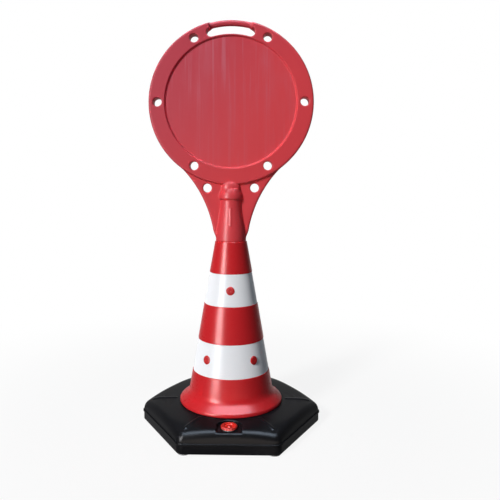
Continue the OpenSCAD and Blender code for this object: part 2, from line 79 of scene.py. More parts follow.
# A field's slope is taken over this part of a cell
SLOPE_PARTS = 20
# Keeps a step finite where a field is level
LEAST_SQUARE = 1e-6
# Shorter lengths count as nothing
TINY = 1e-9
# Share of a side that the rounding of one corner may take
CORNER_ROOM = 0.49
# Stations around the cone and its bands, the filler's bore, its gasket, and a rivet or a foot
CONE_STATIONS = 144
BORE_STATIONS = 96
GASKET_STATIONS = 64
SMALL_STATIONS = 40
# Stations across a flute of the cap, and points along the spigot's curve
FLUTE_STATIONS = 10
SPIGOT_POINTS = 14
COS_30 = math.cos(math.radians(30))
WHITE = (1.0, 1.0, 1.0, 1.0)


def length(name, metres, description):
    """A size that a user would change."""
    return bpy.props.FloatProperty(
        name=name, description=description, default=metres, precision=4, unit="LENGTH"
    )


def angle(name, degrees, description):
    """An angle that a user would change."""
    return bpy.props.FloatProperty(
        name=name, description=description, default=math.radians(degrees), subtype="ANGLE"
    )


def count(name, copies, description):
    """A number of copies."""
    return bpy.props.IntProperty(name=name, description=description, default=copies, min=1)


def share(name, value, description):
    """A share between nothing and all."""
    return bpy.props.FloatProperty(
        name=name, description=description, default=value, min=0.0, max=1.0, subtype="FACTOR"
    )


def colour(name, red, green, blue, description):
    """A colour of a finish, in linear light."""
    return bpy.props.FloatVectorProperty(
        name=name, description=description, default=(red, green, blue),
        size=3, min=0.0, max=1.0, subtype="COLOR",
    )


def power(name, watts, description):
    """Power of a lamp."""
    return bpy.props.FloatProperty(name=name, description=description, default=watts, unit="POWER")


def number(name, value, description):
    """A number without a unit."""
    return bpy.props.FloatProperty(name=name, description=description, default=value)


class CONESIGN_PG_board(bpy.types.PropertyGroup):
    """Sizes of the sign board, its web and its neck."""

    radius: length("Board radius", BOARD_HIGH.x, "From the middle of the board to its edge")
    thickness: length("Rim thickness", 32 * MM, "Thickness of the board at its rim")
    rim_w: length("Rim width", 36 * MM, "Width of the raised rim")
    rim_round: length("Rim rounding", 4.5 * MM, "Radius of the rim's outer edges")
    recess_depth: length("Recess depth", 5 * MM, "Depth of the sign recess on each face")
    recess_slope: length("Recess wall", 4.5 * MM, "Width of the sloped wall around the recess")
    hole_ring_r: length("Hole ring", 169.5 * MM, "Radius of the ring that the rim holes lie on")
    hole_r: length("Rim hole radius", 10 * MM, "Radius of the holes in the rim")
    hole_count: count("Rim holes", 6, "Number of holes in the rim")
    hole_round: length("Hole edge rounding", 2.4 * MM, "Radius of the edges of every hole")
    slot_h: length("Slot height", 21 * MM, "Height of the hand slot")
    slot_l: length("Slot length", 112 * MM, "Length of the hand slot")
    grip_d: length("Grip diameter", 14 * MM, "Diameter of the grip bar over the slot")
    grip_rise: length("Grip rise", 1 * MM, "How far the grip bar stands past the board's edge")
    grip_blend: length("Grip blend", 7 * MM, "Radius that joins the grip bar to the rim")
    web_t: length("Web thickness", 18 * MM, "Thickness of the fan shaped web")
    web_edge_r: length("Web edge radius", 275 * MM, "Radius of the hollow curve of the web's sides")
    web_foot: length("Web foot", 26 * MM, "Height over the seam under which the web's edges run out")
    web_fade: length("Web fade", 5 * MM, "How far the web's edges draw in at the seam")
    web_cut: length("Web cut", 1.5 * MM, "How far the web's side curves cut into the board's edge")
    web_round: length("Web rounding", 4.5 * MM, "Radius of the web's edges")
    web_blend: length("Web blend", 1.5 * MM, "Radius between the web and the board's rim")
    web_hole_x: length("Web hole place", 54.5 * MM, "Distance of a web hole from the middle")
    web_hole_h: length("Web hole height", 122 * MM, "Height of the web holes over the seam")
    web_hole_r: length("Web hole radius", 10 * MM, "Radius of the two holes in the web")
    neck_r: length("Neck radius", BOARD_HIGH.y - 1.7 * MM, "Radius of the neck at the seam")
    neck_l: length("Neck length", 88 * MM, "Length of the neck from the seam to its waist")
    neck_blend: length("Neck blend", 1.2 * MM, "Radius between the neck and the web")
    waist_r: length("Waist radius", 25.5 * MM, "Radius of the neck at its waist")
    waist_l: length("Waist length", 7 * MM, "Length of the straight waist")
    bulb_r: length("Bulb radius", 28.9 * MM, "Radius of the bulb over the waist")
    bulb_h: length("Bulb height", 25 * MM, "Height of the bulb")
    bulb_ledge: length("Bulb ledge", 5 * MM, "Height over which the waist swells into the bulb")
    bulb_crease: share("Bulb crease", 0.8, "Share of the bulb's radius that is left under the nub")
    bulb_wide: share("Bulb belly", 0.25, "Share of the bulb's height at which it is widest")
    nub_r: length("Nub radius", 21 * MM, "Radius of the nub on the bulb")
    nub_h: length("Nub height", 20 * MM, "Height of the nub")
    nub_deep: length("Nub depth", 21 * MM, "Distance from the middle of the board to the nub's front")
    nub_round: length("Nub rounding", 10 * MM, "How far back the nub's front curves")
    crease_round: length("Crease rounding", 1 * MM, "Radius of the creases at the nub and at the key ribs")
    rib_w: length("Key rib width", 8 * MM, "Width of the key rib on the neck's front and back")
    rib_rise: length("Key rib rise", 1 * MM, "How far the rib stands out of the neck")
    rib_top: length("Key rib top", 78 * MM, "Height of the rib's upper end over the seam")
    rib_l: length("Key rib length", 40 * MM, "Length of the key rib")
    wall: length("Wall", 3 * MM, "Wall of the hollow moulding")
    key_wall: length("Key wall", 2 * MM, "Wall around the keyway inside the rib")
    edge_round: length("Edge rounding", 1.3 * MM, "Radius of the neck's lower edges")
    cell: length("Mesh cell", 1.9 * MM, "Spacing of the grid that the moulding is netted on")


class CONESIGN_PG_cone(bpy.types.PropertyGroup):
    """Sizes of the cone, its bands and its rivets."""

    side_angle: angle("Side angle", 9.85, "Angle of the cone's side to its axis")
    wall: length("Wall", 4 * MM, "Wall of the cone")
    lip_w: length("Lip width", 8 * MM, "Thickness of the lip where it stands on the base")
    lip_h: length("Lip height", 2 * MM, "Height of the lip's widest point over the seat")
    lip_round: length("Lip rounding", 9 * MM, "Radius between the lip and the flare")
    lip_edge: length("Lip edge", 2 * MM, "Radius of the lip's lower edge")
    lip_trim: length("Lip trim", 2 * MM, "How far the lip stays inside the frame's box")
    flare_angle: angle("Flare angle", 52, "Angle of the flare to the axis")
    flare_round: length("Flare rounding", 24 * MM, "Radius between the cone's side and its flare")
    shoulder_round: length("Shoulder rounding", 2 * MM, "Radius of the edge under the sign board")
    seat_depth: length("Seat depth", 2 * MM, "Depth of a band's seat")
    seat_edge: length("Seat edge", 0.3 * MM, "Room at a band's edges")
    spigot_gap: length("Spigot gap", 0.4 * MM, "Room around the spigot in the neck")
    flash_h: length("Flash height", 0.35 * MM, "Height of the mould line on each side")
    band_t: length("Band thickness", 1.2 * MM, "Thickness of a reflective band")
    band_gap: length("Band gap", 0.1 * MM, "Room under a band")
    lap_w: length("Lap width", 12 * MM, "Width of a band's welded lap at the back")
    lap_h: length("Lap height", 0.45 * MM, "Height of a band's welded lap")
    rivet_d: length("Rivet diameter", 19 * MM, "Diameter of a rivet's head")
    rivet_h: length("Rivet height", 2.4 * MM, "Height of a rivet's head")
    shank_d: length("Shank diameter", 6 * MM, "Diameter of a rivet's shank")


class CONESIGN_PG_base(bpy.types.PropertyGroup):
    """Sizes of the ballast tank and its filler."""

    corner_r: length("Corner radius", 18 * MM, "Radius of the tank's corners at the flange")
    flange_out: length("Flange reach", 2 * MM, "How far the welded flange stands out")
    flange_t: length("Flange thickness", 2 * MM, "Thickness of each half of the flange")
    bead_round: length("Flange rounding", 1.6 * MM, "Radius of the flange's outer edges")
    trim: length("Trim", 0.02 * MM, "Room between the flange's edge and the frame's box")
    tray_round: length("Tray rounding", 3.5 * MM, "Radius of the tray's lower edge")
    side_angle: angle("Side angle", 5, "Lean of the cover's sides")
    roof_angle: angle("Roof angle", 1, "Fall of the cover's roof")
    edge_angle: angle("Roof edge angle", 17, "Fall of the roof's edge")
    edge_w: length("Roof edge width", 7 * MM, "Width of the falling edge at the middle of a side")
    edge_soft: length("Roof edge softness", 8 * MM, "Width over which the roof turns down")
    roof_land: length("Seat ring", 3 * MM, "Width of the level ring outside the cone's lip")
    arris_round: length("Arris rounding", 11 * MM, "Radius between the cover's roof and its sides")
    ridge_r: length("Ridge radius", 6 * MM, "Radius of the six ridges on the roof")
    ridge_h: length("Ridge height", 1.5 * MM, "Height of the six ridges")
    plug_gap: length("Plug gap", 0.4 * MM, "Room around the plug in the cone's lip")
    plug_shoulder_gap: length("Shoulder gap", 1 * MM, "Room between the plug's shoulder and the flare")
    plug_round: length("Plug rounding", 3 * MM, "Radius of the plug's edges")
    pocket_r: length("Pocket radius", 25.6 * MM, "Radius of the filler pocket")
    pocket_round: length("Pocket rounding", 2.4 * MM, "Radius of the pocket's edges")
    bore_r: length("Bore radius", 13.85 * MM, "Radius of the filler bore")
    bore_wall: length("Bore wall", 2.4 * MM, "Wall of the threaded insert in the bore")
    bore_l: length("Bore length", 14 * MM, "Length of the threaded insert")
    foot_d: length("Foot diameter", 28 * MM, "Diameter of a rubber foot")
    cap_d: length("Cap diameter", 34 * MM, "Diameter of the filler cap")
    cap_round: length("Cap rounding", 1.5 * MM, "Radius of the cap's upper edge")
    cup_d: length("Cup diameter", 24.5 * MM, "Diameter of the hollow in the cap")
    cup_depth: length("Cup depth", 3 * MM, "Depth of the hollow in the cap")
    boss_d: length("Boss diameter", 8 * MM, "Diameter of the boss in the hollow")
    boss_drop: length("Boss drop", 1 * MM, "How far the boss stays under the cap's edge")
    flute_count: count("Flutes", 18, "Number of grip flutes around the cap")
    flute_depth: length("Flute depth", 0.6 * MM, "Depth of a grip flute")
    thread_d: length("Thread diameter", 27 * MM, "Outer diameter of the cap's thread")
    thread_depth: length("Thread depth", 1.2 * MM, "Depth of the thread")
    thread_pitch: length("Thread pitch", 5 * MM, "Rise of the thread in one turn")
    shank_l: length("Shank length", 12.5 * MM, "Length of the cap's shank")
    shank_wall: length("Shank wall", 2.8 * MM, "Wall of the cap's hollow shank")
    cell: length("Mesh cell", 2 * MM, "Spacing of the grid that the cover is netted on")


class CONESIGN_PG_finish(bpy.types.PropertyGroup):
    """Colours of the finishes."""

    board_red: colour("Board red", 0.7, 0.052, 0.063, "Satin red of the sign board")
    # Darker, bluer red that is painted towards the board's upper left as shade and sky reflection
    board_painted_sky_shade: colour("Board bloom", 0.31, 0.03, 0.068, "Cool bloom on the sign board")
    board_streak: colour("Board streak", 0.58, 0.14, 0.19, "Pale streaks in the recess of the sign board")
    cone_red: colour("Cone red", 0.61, 0.018, 0.023, "Glossy red of the cone")
    cone_scuff: colour("Cone scuff", 0.62, 0.07, 0.075, "Rubbed places on the cone")
    film_white: colour("Film white", 0.93, 0.935, 0.95, "Reflective film of the bands")
    film_line: colour("Film line", 0.82, 0.83, 0.87, "Fine cell lines in the film")
    rivet_red: colour("Rivet red", 0.52, 0.012, 0.014, "Push rivets")
    tank_black: colour("Tank black", 0.006, 0.006, 0.0075, "Black of the ballast tank")
    tank_scuff: colour("Tank scuff", 0.035, 0.034, 0.036, "Rubbed places and dust on the tank")
    rubber_black: colour("Rubber black", 0.012, 0.012, 0.013, "Feet and gasket")
    cap_red: colour("Cap red", 0.62, 0.026, 0.016, "Bright red of the filler cap")


class CONESIGN_PG_stage(bpy.types.PropertyGroup):
    """Camera, light and floor."""

    camera_distance: length("Camera distance", 1.3, "From the camera to the sign's axis")
    camera_height: length("Camera height", 0.545, "Height of the camera over the ground")
    camera_azimuth: angle("Camera azimuth", 1.5, "How far the camera stands to the right of the front")
    lens: bpy.props.FloatProperty(
        name="Lens", description="Focal length on a 36 mm sensor", default=40.4, unit="CAMERA"
    )
    shift_x: number("Shift X", 0.038, "Sideways shift of the view")
    shift_y: number("Shift Y", -0.13, "Upward shift of the view")
    key_azimuth: angle("Key azimuth", -38, "Side that the key light comes from, left of the front")
    key_height: angle("Key height", 31, "Height of the key light over the ground")
    key_distance: length("Key distance", 8, "Distance of the key light from the sign")
    key_size: length("Key size", 1.2, "Width of the key light")
    key_power: power("Key power", 552.0, "Power of the key light")
    card_height: length("Card height", 2.5, "Height of the sky card that glossy edges mirror")
    card_y: length("Card place", -0.6, "Place of the sky card's middle from the axis, negative to the front")
    card_w: length("Card width", 2.4, "Width of the sky card")
    card_d: length("Card depth", 1.8, "Depth of the sky card")
    card_power: power("Card power", 1500.0, "Power of the sky card")
    strip_azimuth: angle("Strip azimuth", -42, "Side that the strip stands on, left of the front")
    strip_distance: length("Strip distance", 2, "Distance of the upright strip that the cone's gloss mirrors")
    strip_w: length("Strip width", 0.7, "Width of the strip")
    strip_h: length("Strip height", 1.8, "Height of the strip")
    strip_power: power("Strip power", 860.0, "Power of the strip")
    ground_y: length("Ground card place", -0.6, "Place of the ground card's middle, negative to the front")
    ground_gap: length("Ground card gap", 0.002, "Height of the ground card over the floor")
    ground_w: length("Ground card width", 0.7, "Width of the ground card that the tank's front mirrors")
    ground_power: power("Ground card power", 42.0, "Power of the ground card")
    ground_tint: colour("Ground tint", 1.0, 0.88, 0.74, "Colour of the ground card")
    sky_power: number("Sky", 0.11, "Strength of the sky's light")
    sky_tint: colour("Sky tint", 0.72, 0.86, 1.0, "Colour of the sky's light")
    floor_tone: colour("Floor", 0.95, 0.95, 0.95, "Colour of the floor to the camera")
    floor_dim: colour("Floor bounce", 0.32, 0.32, 0.33, "Colour of the floor in the light it throws back")
    floor_glow: share("Floor glow", 0.88, "How much of the floor's white is its own to the camera")
    fade_start: length("Fade start", 0.3, "Distance from the axis at which the floor starts to fade")
    fade_end: length("Fade end", 1.2, "Distance from the axis at which the floor is white")
    floor_size: length("Floor size", 40, "Width of the floor")


def soft_max(a, b, radius):
    """The greater of two fields, with a round edge of the given radius where they meet."""
    reach = FILLET_REACH * radius
    near = np.maximum(reach - np.abs(a - b), 0) / reach
    return np.maximum(a, b) + near * near * reach / 4


def soft_min(a, b, radius):
    """The lesser of two fields, with a hollow fillet of the given radius where they meet."""
    return -soft_max(-a, -b, radius)


def ramp(t):
    """A smooth rise from 0 to 1."""
    t = np.clip(t, 0, 1)
    return t * t * (3 - 2 * t)


def slope(field, points, step):
    """Gradient of a field at points, by central differences."""
    result = np.empty_like(points)
    for axis in range(3):
        ahead = points.copy()
        behind = points.copy()
        ahead[:, axis] += step
        behind[:, axis] -= step
        result[:, axis] = (field(*ahead.T) - field(*behind.T)) / (2 * step)
    return result


def pulled(field, points, cell, rounds=3):
    """Points moved along the gradient onto the surface where the field is zero."""
    for _ in range(rounds):
        value = field(*points.T)
        gradient = slope(field, points, cell / SLOPE_PARTS)
        square = np.maximum((gradient ** 2).sum(axis=1), LEAST_SQUARE)
        points = points - np.clip(value / square, -cell, cell)[:, None] * gradient
    return points


def evened(points, quads):
    """Points moved half way to the middle of their neighbours."""
    start = np.concatenate([quads[:, k] for k in range(4)] * 2)
    end = np.concatenate([quads[:, (k + 1) % 4] for k in range(4)] + [quads[:, k - 1] for k in range(4)])
    weight = np.bincount(start, minlength=len(points))
    middle = np.stack(
        [np.bincount(start, weights=points[end, axis], minlength=len(points)) for axis in range(3)], axis=1
    )
    return (points + middle / np.maximum(weight, 1)[:, None]) / 2


CELL_CORNERS = [(i, j, k) for i in (0, 1) for j in (0, 1) for k in (0, 1)]


def crossing_middles(value, active):
    """Middle of the surface's crossings on each active cell's edges, in cells from the grid's start."""
    total = np.zeros((len(active), 3))
    crossings = np.zeros(len(active))
    for start in CELL_CORNERS:
        for axis in range(3):
            if start[axis]:
                continue
            end = tuple(1 if k == axis else start[k] for k in range(3))
            a = value[tuple((active + start).T)]
            b = value[tuple((active + end).T)]
            cut = (a < 0) != (b < 0)
            at = np.tile(np.array(start, float), (len(active), 1))
            at[:, axis] = a / np.where(cut, a - b, 1)
            total += at * cut[:, None]
            crossings += cut
    return active + total / crossings[:, None]


def crossing_quads(inside, ids):
    """A quad of cells around each edge of the grid that the surface crosses, facing outward."""
    quads = []
    for axis in range(3):
        u, v = (axis + 1) % 3, (axis + 2) % 3
        steps = inside.shape[axis] - 1
        lower = np.take(inside, range(steps), axis=axis)
        upper = np.take(inside, range(1, steps + 1), axis=axis)
        edge = np.argwhere(lower != upper)
        ring = []
        for du, dv in ((-1, -1), (0, -1), (0, 0), (-1, 0)):
            around = edge.copy()
            around[:, u] += du
            around[:, v] += dv
            ring.append(ids[tuple(around.T)])
        ring = np.stack(ring, axis=1)
        outward = lower[tuple(edge.T)]
        quads.append(np.where(outward[:, None], ring, ring[:, ::-1]))
    return np.concatenate(quads)


def net_surface(field, low, high, cell):
    """Closed quad mesh of the surface where the field changes sign, with the field negative inside."""
    axes = [np.arange(a, b + cell, cell) for a, b in zip(low, high)]
    shape = tuple(len(axis) for axis in axes)
    value = np.broadcast_to(field(*np.meshgrid(*axes, indexing="ij", sparse=True)), shape)
    inside = value < 0
    cells = [side - 1 for side in shape]
    full = sum(
        inside[i:cells[0] + i, j:cells[1] + j, k:cells[2] + k].astype(np.int8) for i, j, k in CELL_CORNERS
    )
    active = np.argwhere((full > 0) & (full < len(CELL_CORNERS)))
    ids = np.full(full.shape, -1)
    ids[tuple(active.T)] = np.arange(len(active))
    points = np.array([axis[0] for axis in axes]) + cell * crossing_middles(value, active)
    quads = crossing_quads(inside, ids)
    for _ in range(2):
        points = pulled(field, evened(pulled(field, points, cell), quads), cell)
    return points, quads


def netted(field, low, high, cell):
    """Mesh of a field within a box, with its flat areas joined, and its true normals."""
    margin = Vector((NET_MARGIN, NET_MARGIN, NET_MARGIN)) * cell
    points, quads = net_surface(field, low - margin, high + margin, cell)
    mesh = bpy.data.meshes.new("netted")
    mesh.from_pydata(points.tolist(), [], quads.tolist())
    work = bmesh.new()
    work.from_mesh(mesh)
    bmesh.ops.dissolve_limit(work, angle_limit=FLAT_ANGLE, verts=work.verts, edges=work.edges)
    work.to_mesh(mesh)
    work.free()
    kept = np.array([vertex.co for vertex in mesh.vertices])
    return mesh, slope(field, kept, cell / SLOPE_PARTS)


def unit(vector):
    """A vector's direction."""
    return vector / np.linalg.norm(vector)


def right_of(vector):
    """A flat vector turned to its right."""
    return np.array([vector[1], -vector[0]])


def swung(vector, by):
    """A flat vector turned to its left by an angle."""
    cos, sin = math.cos(by), math.sin(by)
    return np.array([vector[0] * cos - vector[1] * sin, vector[0] * sin + vector[1] * cos])


def rounded(corners, closed=False, steps=6, step=None):
    """Outline of (reach, height, out, up) rows along corners of (reach, height, radius), each made round.

    The solid lies to the left of the outline's way. A corner with no radius is a point of a smooth curve.
    """
    rows = []
    last = len(corners) - 1
    for i, (reach, height, radius) in enumerate(corners):
        here = np.array([reach, height])
        before = np.array(corners[i - 1][:2])
        after = np.array(corners[(i + 1) % len(corners)][:2])
        if not closed and i in (0, last):
            way = unit(after - here) if i == 0 else unit(here - before)
            rows.append((here, right_of(way)))
            continue
        came = unit(here - before)
        goes = unit(after - here)
        if radius == 0:
            rows.append((here, unit(right_of(came) + right_of(goes))))
            continue
        turn = math.atan2(came[0] * goes[1] - came[1] * goes[0], came @ goes)
        bend = math.tan(abs(turn) / 2)
        room = CORNER_ROOM * min(np.linalg.norm(here - before), np.linalg.norm(after - here))
        cut = min(radius * bend, room)
        side = math.copysign(cut / bend, turn)
        middle = here - came * cut - right_of(came) * side
        for part in range(steps + 1):
            out = swung(right_of(came), turn * part / steps)
            rows.append((middle + side * out, out))
    outline = np.array([np.concatenate(row) for row in rows])
    return outline if step is None else divided(outline, step)


def divided(outline, step):
    """An open outline with points added on its long stretches."""
    rows = [outline[0]]
    for before, after in zip(outline[:-1], outline[1:]):
        parts = max(1, math.ceil(np.linalg.norm(after[:2] - before[:2]) / step))
        rows += [before + (after - before) * part / parts for part in range(1, parts + 1)]
    return np.array(rows)


def round_stations(amount, middle=(0.0, 0.0), extra=()):
    """Middles and angles of stations around a circle, with extra angles among them."""
    even = np.linspace(0, 2 * np.pi, amount, endpoint=False)
    angles = np.concatenate([even, np.asarray(extra) % (2 * np.pi)])
    angles = np.unique(np.round(angles, decimals=6))
    return np.tile(np.asarray(middle), (len(angles), 1)), angles


def hexagon_stations(ring_r, steps=8):
    """Middles and angles of stations around a hexagon with round corners."""
    corner = np.repeat(np.arange(6) * np.pi / 3, steps + 1)
    angles = corner + np.tile(np.linspace(-np.pi / 6, np.pi / 6, steps + 1), 6)
    return ring_r * np.column_stack([np.cos(corner), np.sin(corner)]), angles


def swept(outline, stations, relief=None, closed=False):
    """Points, faces and normals of an outline carried around its stations.

    An open outline ends on the axis, or in a flat cap. Relief is a height along the normal.
    """
    middles, angles = stations
    reach, height, out, up = (column[:, None] for column in outline.T)
    cos, sin = np.cos(angles), np.sin(angles)
    points = np.stack([middles[:, 0] + reach * cos, middles[:, 1] + reach * sin, height + 0 * cos], axis=-1)
    normals = np.stack([out * cos, out * sin, up + 0 * cos], axis=-1)
    if relief is not None:
        lift = relief(angles[None, :], reach, height) + np.zeros(points.shape[:2])
        along = np.concatenate([[0], np.cumsum(np.linalg.norm(np.diff(outline[:, :2], axis=0), axis=1))])
        wide = np.maximum((np.roll(angles, -1) - np.roll(angles, 1)) % (2 * np.pi) * reach, TINY)
        tilt = (np.roll(lift, -1, axis=1) - np.roll(lift, 1, axis=1)) / wide
        rise = np.gradient(lift, along, axis=0)
        around = np.stack([-sin, cos, 0 * cos], axis=-1)
        ahead = np.stack([-up * cos, -up * sin, out + 0 * cos], axis=-1)
        points = points + lift[..., None] * normals
        normals = normals - tilt[..., None] * around - rise[..., None] * ahead
    rows, columns = points.shape[:2]
    ids = np.arange(rows * columns).reshape(rows, columns)
    one_axis = not closed and np.allclose(middles, middles[0])
    poles = [row for row in (0, rows - 1) if one_axis and outline[row, 0] < TINY]
    for row in poles:
        ids[row, :] = ids[row, 0]
    faces = []
    for row in range(rows if closed else rows - 1):
        near, far = ids[row], ids[(row + 1) % rows]
        for a, b, c, d in zip(near, np.roll(near, -1), np.roll(far, -1), far):
            faces.append([int(v) for v in dict.fromkeys((a, b, c, d))])
    if not closed:
        for row, flip in ((0, -1), (rows - 1, 1)):
            if row not in poles:
                faces.append([int(v) for v in ids[row][::flip]])
    return points.reshape(-1, 3), faces, normals.reshape(-1, 3)


def joined(parts):
    """Several (points, faces, normals) as one."""
    points, faces, normals = [], [], []
    offset = 0
    for part_points, part_faces, part_normals in parts:
        points.append(part_points)
        faces += [[v + offset for v in face] for face in part_faces]
        normals.append(part_normals)
        offset += len(part_points)
    return np.concatenate(points), faces, np.concatenate(normals)


def as_mesh(points, faces, normals):
    """A mesh and its normals, without points that no face uses."""
    used = np.unique([v for face in faces for v in face])
    places = {int(v): i for i, v in enumerate(used)}
    mesh = bpy.data.meshes.new("swept")
    mesh.from_pydata(points[used].tolist(), [], [[places[v] for v in face] for face in faces])
    return mesh, normals[used]


def put(name, shape, finish, body, slot, *nodes):
    """Adds a mesh with its normals to the scene as a piece on its body, in place of its frame nodes."""
    mesh, normals = shape
    mesh.name = name
    mesh.shade_smooth()
    lengths = np.maximum(np.linalg.norm(normals, axis=1, keepdims=True), TINY)
    mesh.normals_split_custom_set_from_vertices((normals / lengths).tolist())
    mesh.materials.append(finish)
    piece = bpy.data.objects.new(name, mesh)
    bpy.context.scene.collection.objects.link(piece)
    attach(piece, body)
    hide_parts(*nodes)


class Signal:
    """A number that changes over a surface; arithmetic on it adds Math nodes."""

    def __init__(self, nodes, socket):
        self.nodes = nodes
        self.socket = socket

    def math(self, operation, *values):
        """The result of a Math node on the values."""
        node = self.nodes.node("ShaderNodeMath", {"operation": operation}, dict(enumerate(values)))
        return Signal(self.nodes, node.outputs[0])

    def __add__(self, other):
        return self.math("ADD", self, other)

    def __radd__(self, other):
        return self.math("ADD", other, self)

    def __sub__(self, other):
        return self.math("SUBTRACT", self, other)

    def __rsub__(self, other):
        return self.math("SUBTRACT", other, self)

    def __mul__(self, other):
        return self.math("MULTIPLY", self, other)

    def __rmul__(self, other):
        return self.math("MULTIPLY", other, self)

    def __pow__(self, other):
        return self.math("POWER", self, other)

    def __abs__(self):
        return self.math("ABSOLUTE", self)

    def far(self, other):
        """Distance from an axis, from this and the other signal square to it."""
        return (self * self + other * other) ** 0.5

    def between(self, low, high):
        """A smooth rise from 0 at low to 1 at high."""
        node = self.nodes.node(
            "ShaderNodeMapRange", {"interpolation_type": "SMOOTHSTEP"},
            {"Value": self, "From Min": low, "From Max": high},
        )
        return Signal(self.nodes, node.outputs[0])


class Nodes:
    """Adds nodes to one tree."""

    def __init__(self, tree):
        self.tree = tree
        tree.nodes.clear()

    def node(self, kind, settings=None, sockets=None):
        """A node of a kind, with its settings, then the values or links of its sockets."""
        node = self.tree.nodes.new(kind)
        for key, value in (settings or {}).items():
            setattr(node, key, value)
        for key, value in (sockets or {}).items():
            if isinstance(value, Signal):
                value = value.socket
            if isinstance(value, bpy.types.NodeSocket):
                self.tree.links.new(value, node.inputs[key])
            else:
                node.inputs[key].default_value = value
        return node

    def mix(self, mask, first, second):
        """A colour between two, by a mask."""
        # A Mix node has its own sockets for each type of data, and these are the ones for colours
        start, end, result = 6, 7, 2
        sockets = {"Factor": mask, start: opaque(first), end: opaque(second)}
        return self.node("ShaderNodeMix", {"data_type": "RGBA"}, sockets).outputs[result]


class Finish(Nodes):
    """A moulded finish: one shader, with colour, gloss and bump that change over the piece."""

    def __init__(self, name, gloss, **others):
        self.material = bpy.data.materials.new(name)
        self.material.use_nodes = True
        super().__init__(self.material.node_tree)
        self.shader = self.node("ShaderNodeBsdfPrincipled", None, {"Specular IOR Level": gloss, **others})
        self.node("ShaderNodeOutputMaterial", None, {"Surface": self.shader.outputs[0]})
        self.place = self.node("ShaderNodeTexCoord").outputs["Object"]
        axes = self.node("ShaderNodeSeparateXYZ", None, {"Vector": self.place})
        self.x, self.y, self.z = (Signal(self, output) for output in axes.outputs)

    def noise(self, scale, detail=3.0, rough=0.55):
        """Noise from 0 to 1; its scale is one number, or one for each axis."""
        across = scale if isinstance(scale, tuple) else (scale, scale, scale)
        place = self.node("ShaderNodeVectorMath", {"operation": "MULTIPLY"}, {0: self.place, 1: across})
        sockets = {"Vector": place.outputs[0], "Scale": 1.0, "Detail": detail, "Roughness": rough}
        return Signal(self, self.node("ShaderNodeTexNoise", None, sockets).outputs[0])

    def wear(self, tone, rough, height, depth, strength, coat=None):
        """Feeds the shader its colour, gloss and bump, and the weight of a thin clear skin."""
        bump = self.node(
            "ShaderNodeBump", None, {"Height": height, "Distance": depth, "Strength": strength}
        )
        feeds = {"Base Color": tone, "Roughness": rough, "Normal": bump.outputs[0]}
        if coat is not None:
            feeds["Coat Weight"] = coat
        for key, value in feeds.items():
            self.tree.links.new(getattr(value, "socket", value), self.shader.inputs[key])
        return self.material


def opaque(value):
    """A colour value with full alpha; a link is left as it is."""
    return value if isinstance(value, bpy.types.NodeSocket) else (*value, 1.0)


def board_plastic(sizes, tones):
    """Satin red with upright streaks in its recess, painted shade and sky reflection that turn it darker and
    bluer towards the upper left, a rubbed rim and a glossy neck.
    """
    finish = Finish("board_plastic", gloss=0.017, **{"Coat Roughness": 0.28})
    up = finish.z - board_middle(sizes)
    deep = abs(finish.y)
    ring = finish.x.far(up)
    recess_r = sizes.radius - sizes.rim_w
    recess = 1 - ring.between(recess_r - sizes.recess_slope, recess_r)
    streaks = finish.noise((110, 110, 3), detail=4.0, rough=0.65)
    broad = finish.noise((26, 26, 5))
    upper = up.between(-0.05, 0.13)
    grain = finish.noise(900, detail=2.0)
    edge = ring.between(sizes.radius - 6 * MM, sizes.radius)
    rim = edge * (1 - ring.between(sizes.radius, sizes.radius + 2 * MM))
    rubbed = finish.noise(120, detail=4.0).between(0.5, 0.66)
    scuffs = rim * deep.between(9 * MM, 15 * MM) * rubbed
    neck = deep.between(sizes.thickness / 2, sizes.thickness / 2 + 3 * MM)
    # Painted shade and sky reflection: the red turns darker and bluer towards the upper left
    painted_sky_shade = (up * 0.7 - finish.x).between(-0.16, 0.26)
    drawn = streaks.between(0.5, 0.66) * 0.65 + broad.between(0.4, 0.7) * 0.35
    brushed = recess * (0.25 + upper * 0.75) * drawn
    tone = finish.mix(painted_sky_shade * 0.5, tones.board_red, tones.board_painted_sky_shade)
    tone = finish.mix(brushed * 0.75, tone, tones.board_streak)
    tone = finish.mix(scuffs * 0.3, tone, tones.board_streak)
    rough = 0.42 + recess * streaks * 0.16 + scuffs * 0.12
    seam = 1 - deep.between(0.2 * MM, 0.9 * MM)
    height = grain * 0.1 + recess * streaks * 0.2 + seam
    return finish.wear(tone, rough, height, depth=0.2 * MM, strength=0.15, coat=neck * 0.02)


def cone_plastic(tones):
    """Glossy red with faint rings from the mould, small scuffs and a rubbed foot."""
    finish = Finish("cone_plastic", gloss=0.03)
    rings = finish.noise((4, 4, 260), detail=2.0)
    peel = finish.noise(160, detail=2.0)
    scuffs = finish.noise((60, 60, 300), detail=5.0, rough=0.65).between(0.62, 0.74)
    foot = 1 - finish.z.between(CONE_LOW.z + 10 * MM, CONE_LOW.z + 28 * MM)
    kicked = foot * finish.noise(90, detail=4.0).between(0.5, 0.65)
    rubbed = scuffs * 0.04 + kicked * 0.06
    tone = finish.mix(rubbed, tones.cone_red, tones.cone_scuff)
    rough = 0.25 + peel * 0.06 + rubbed * 0.2
    return finish.wear(tone, rough, peel * 0.5 + rings * 0.35, depth=0.15 * MM, strength=0.04)


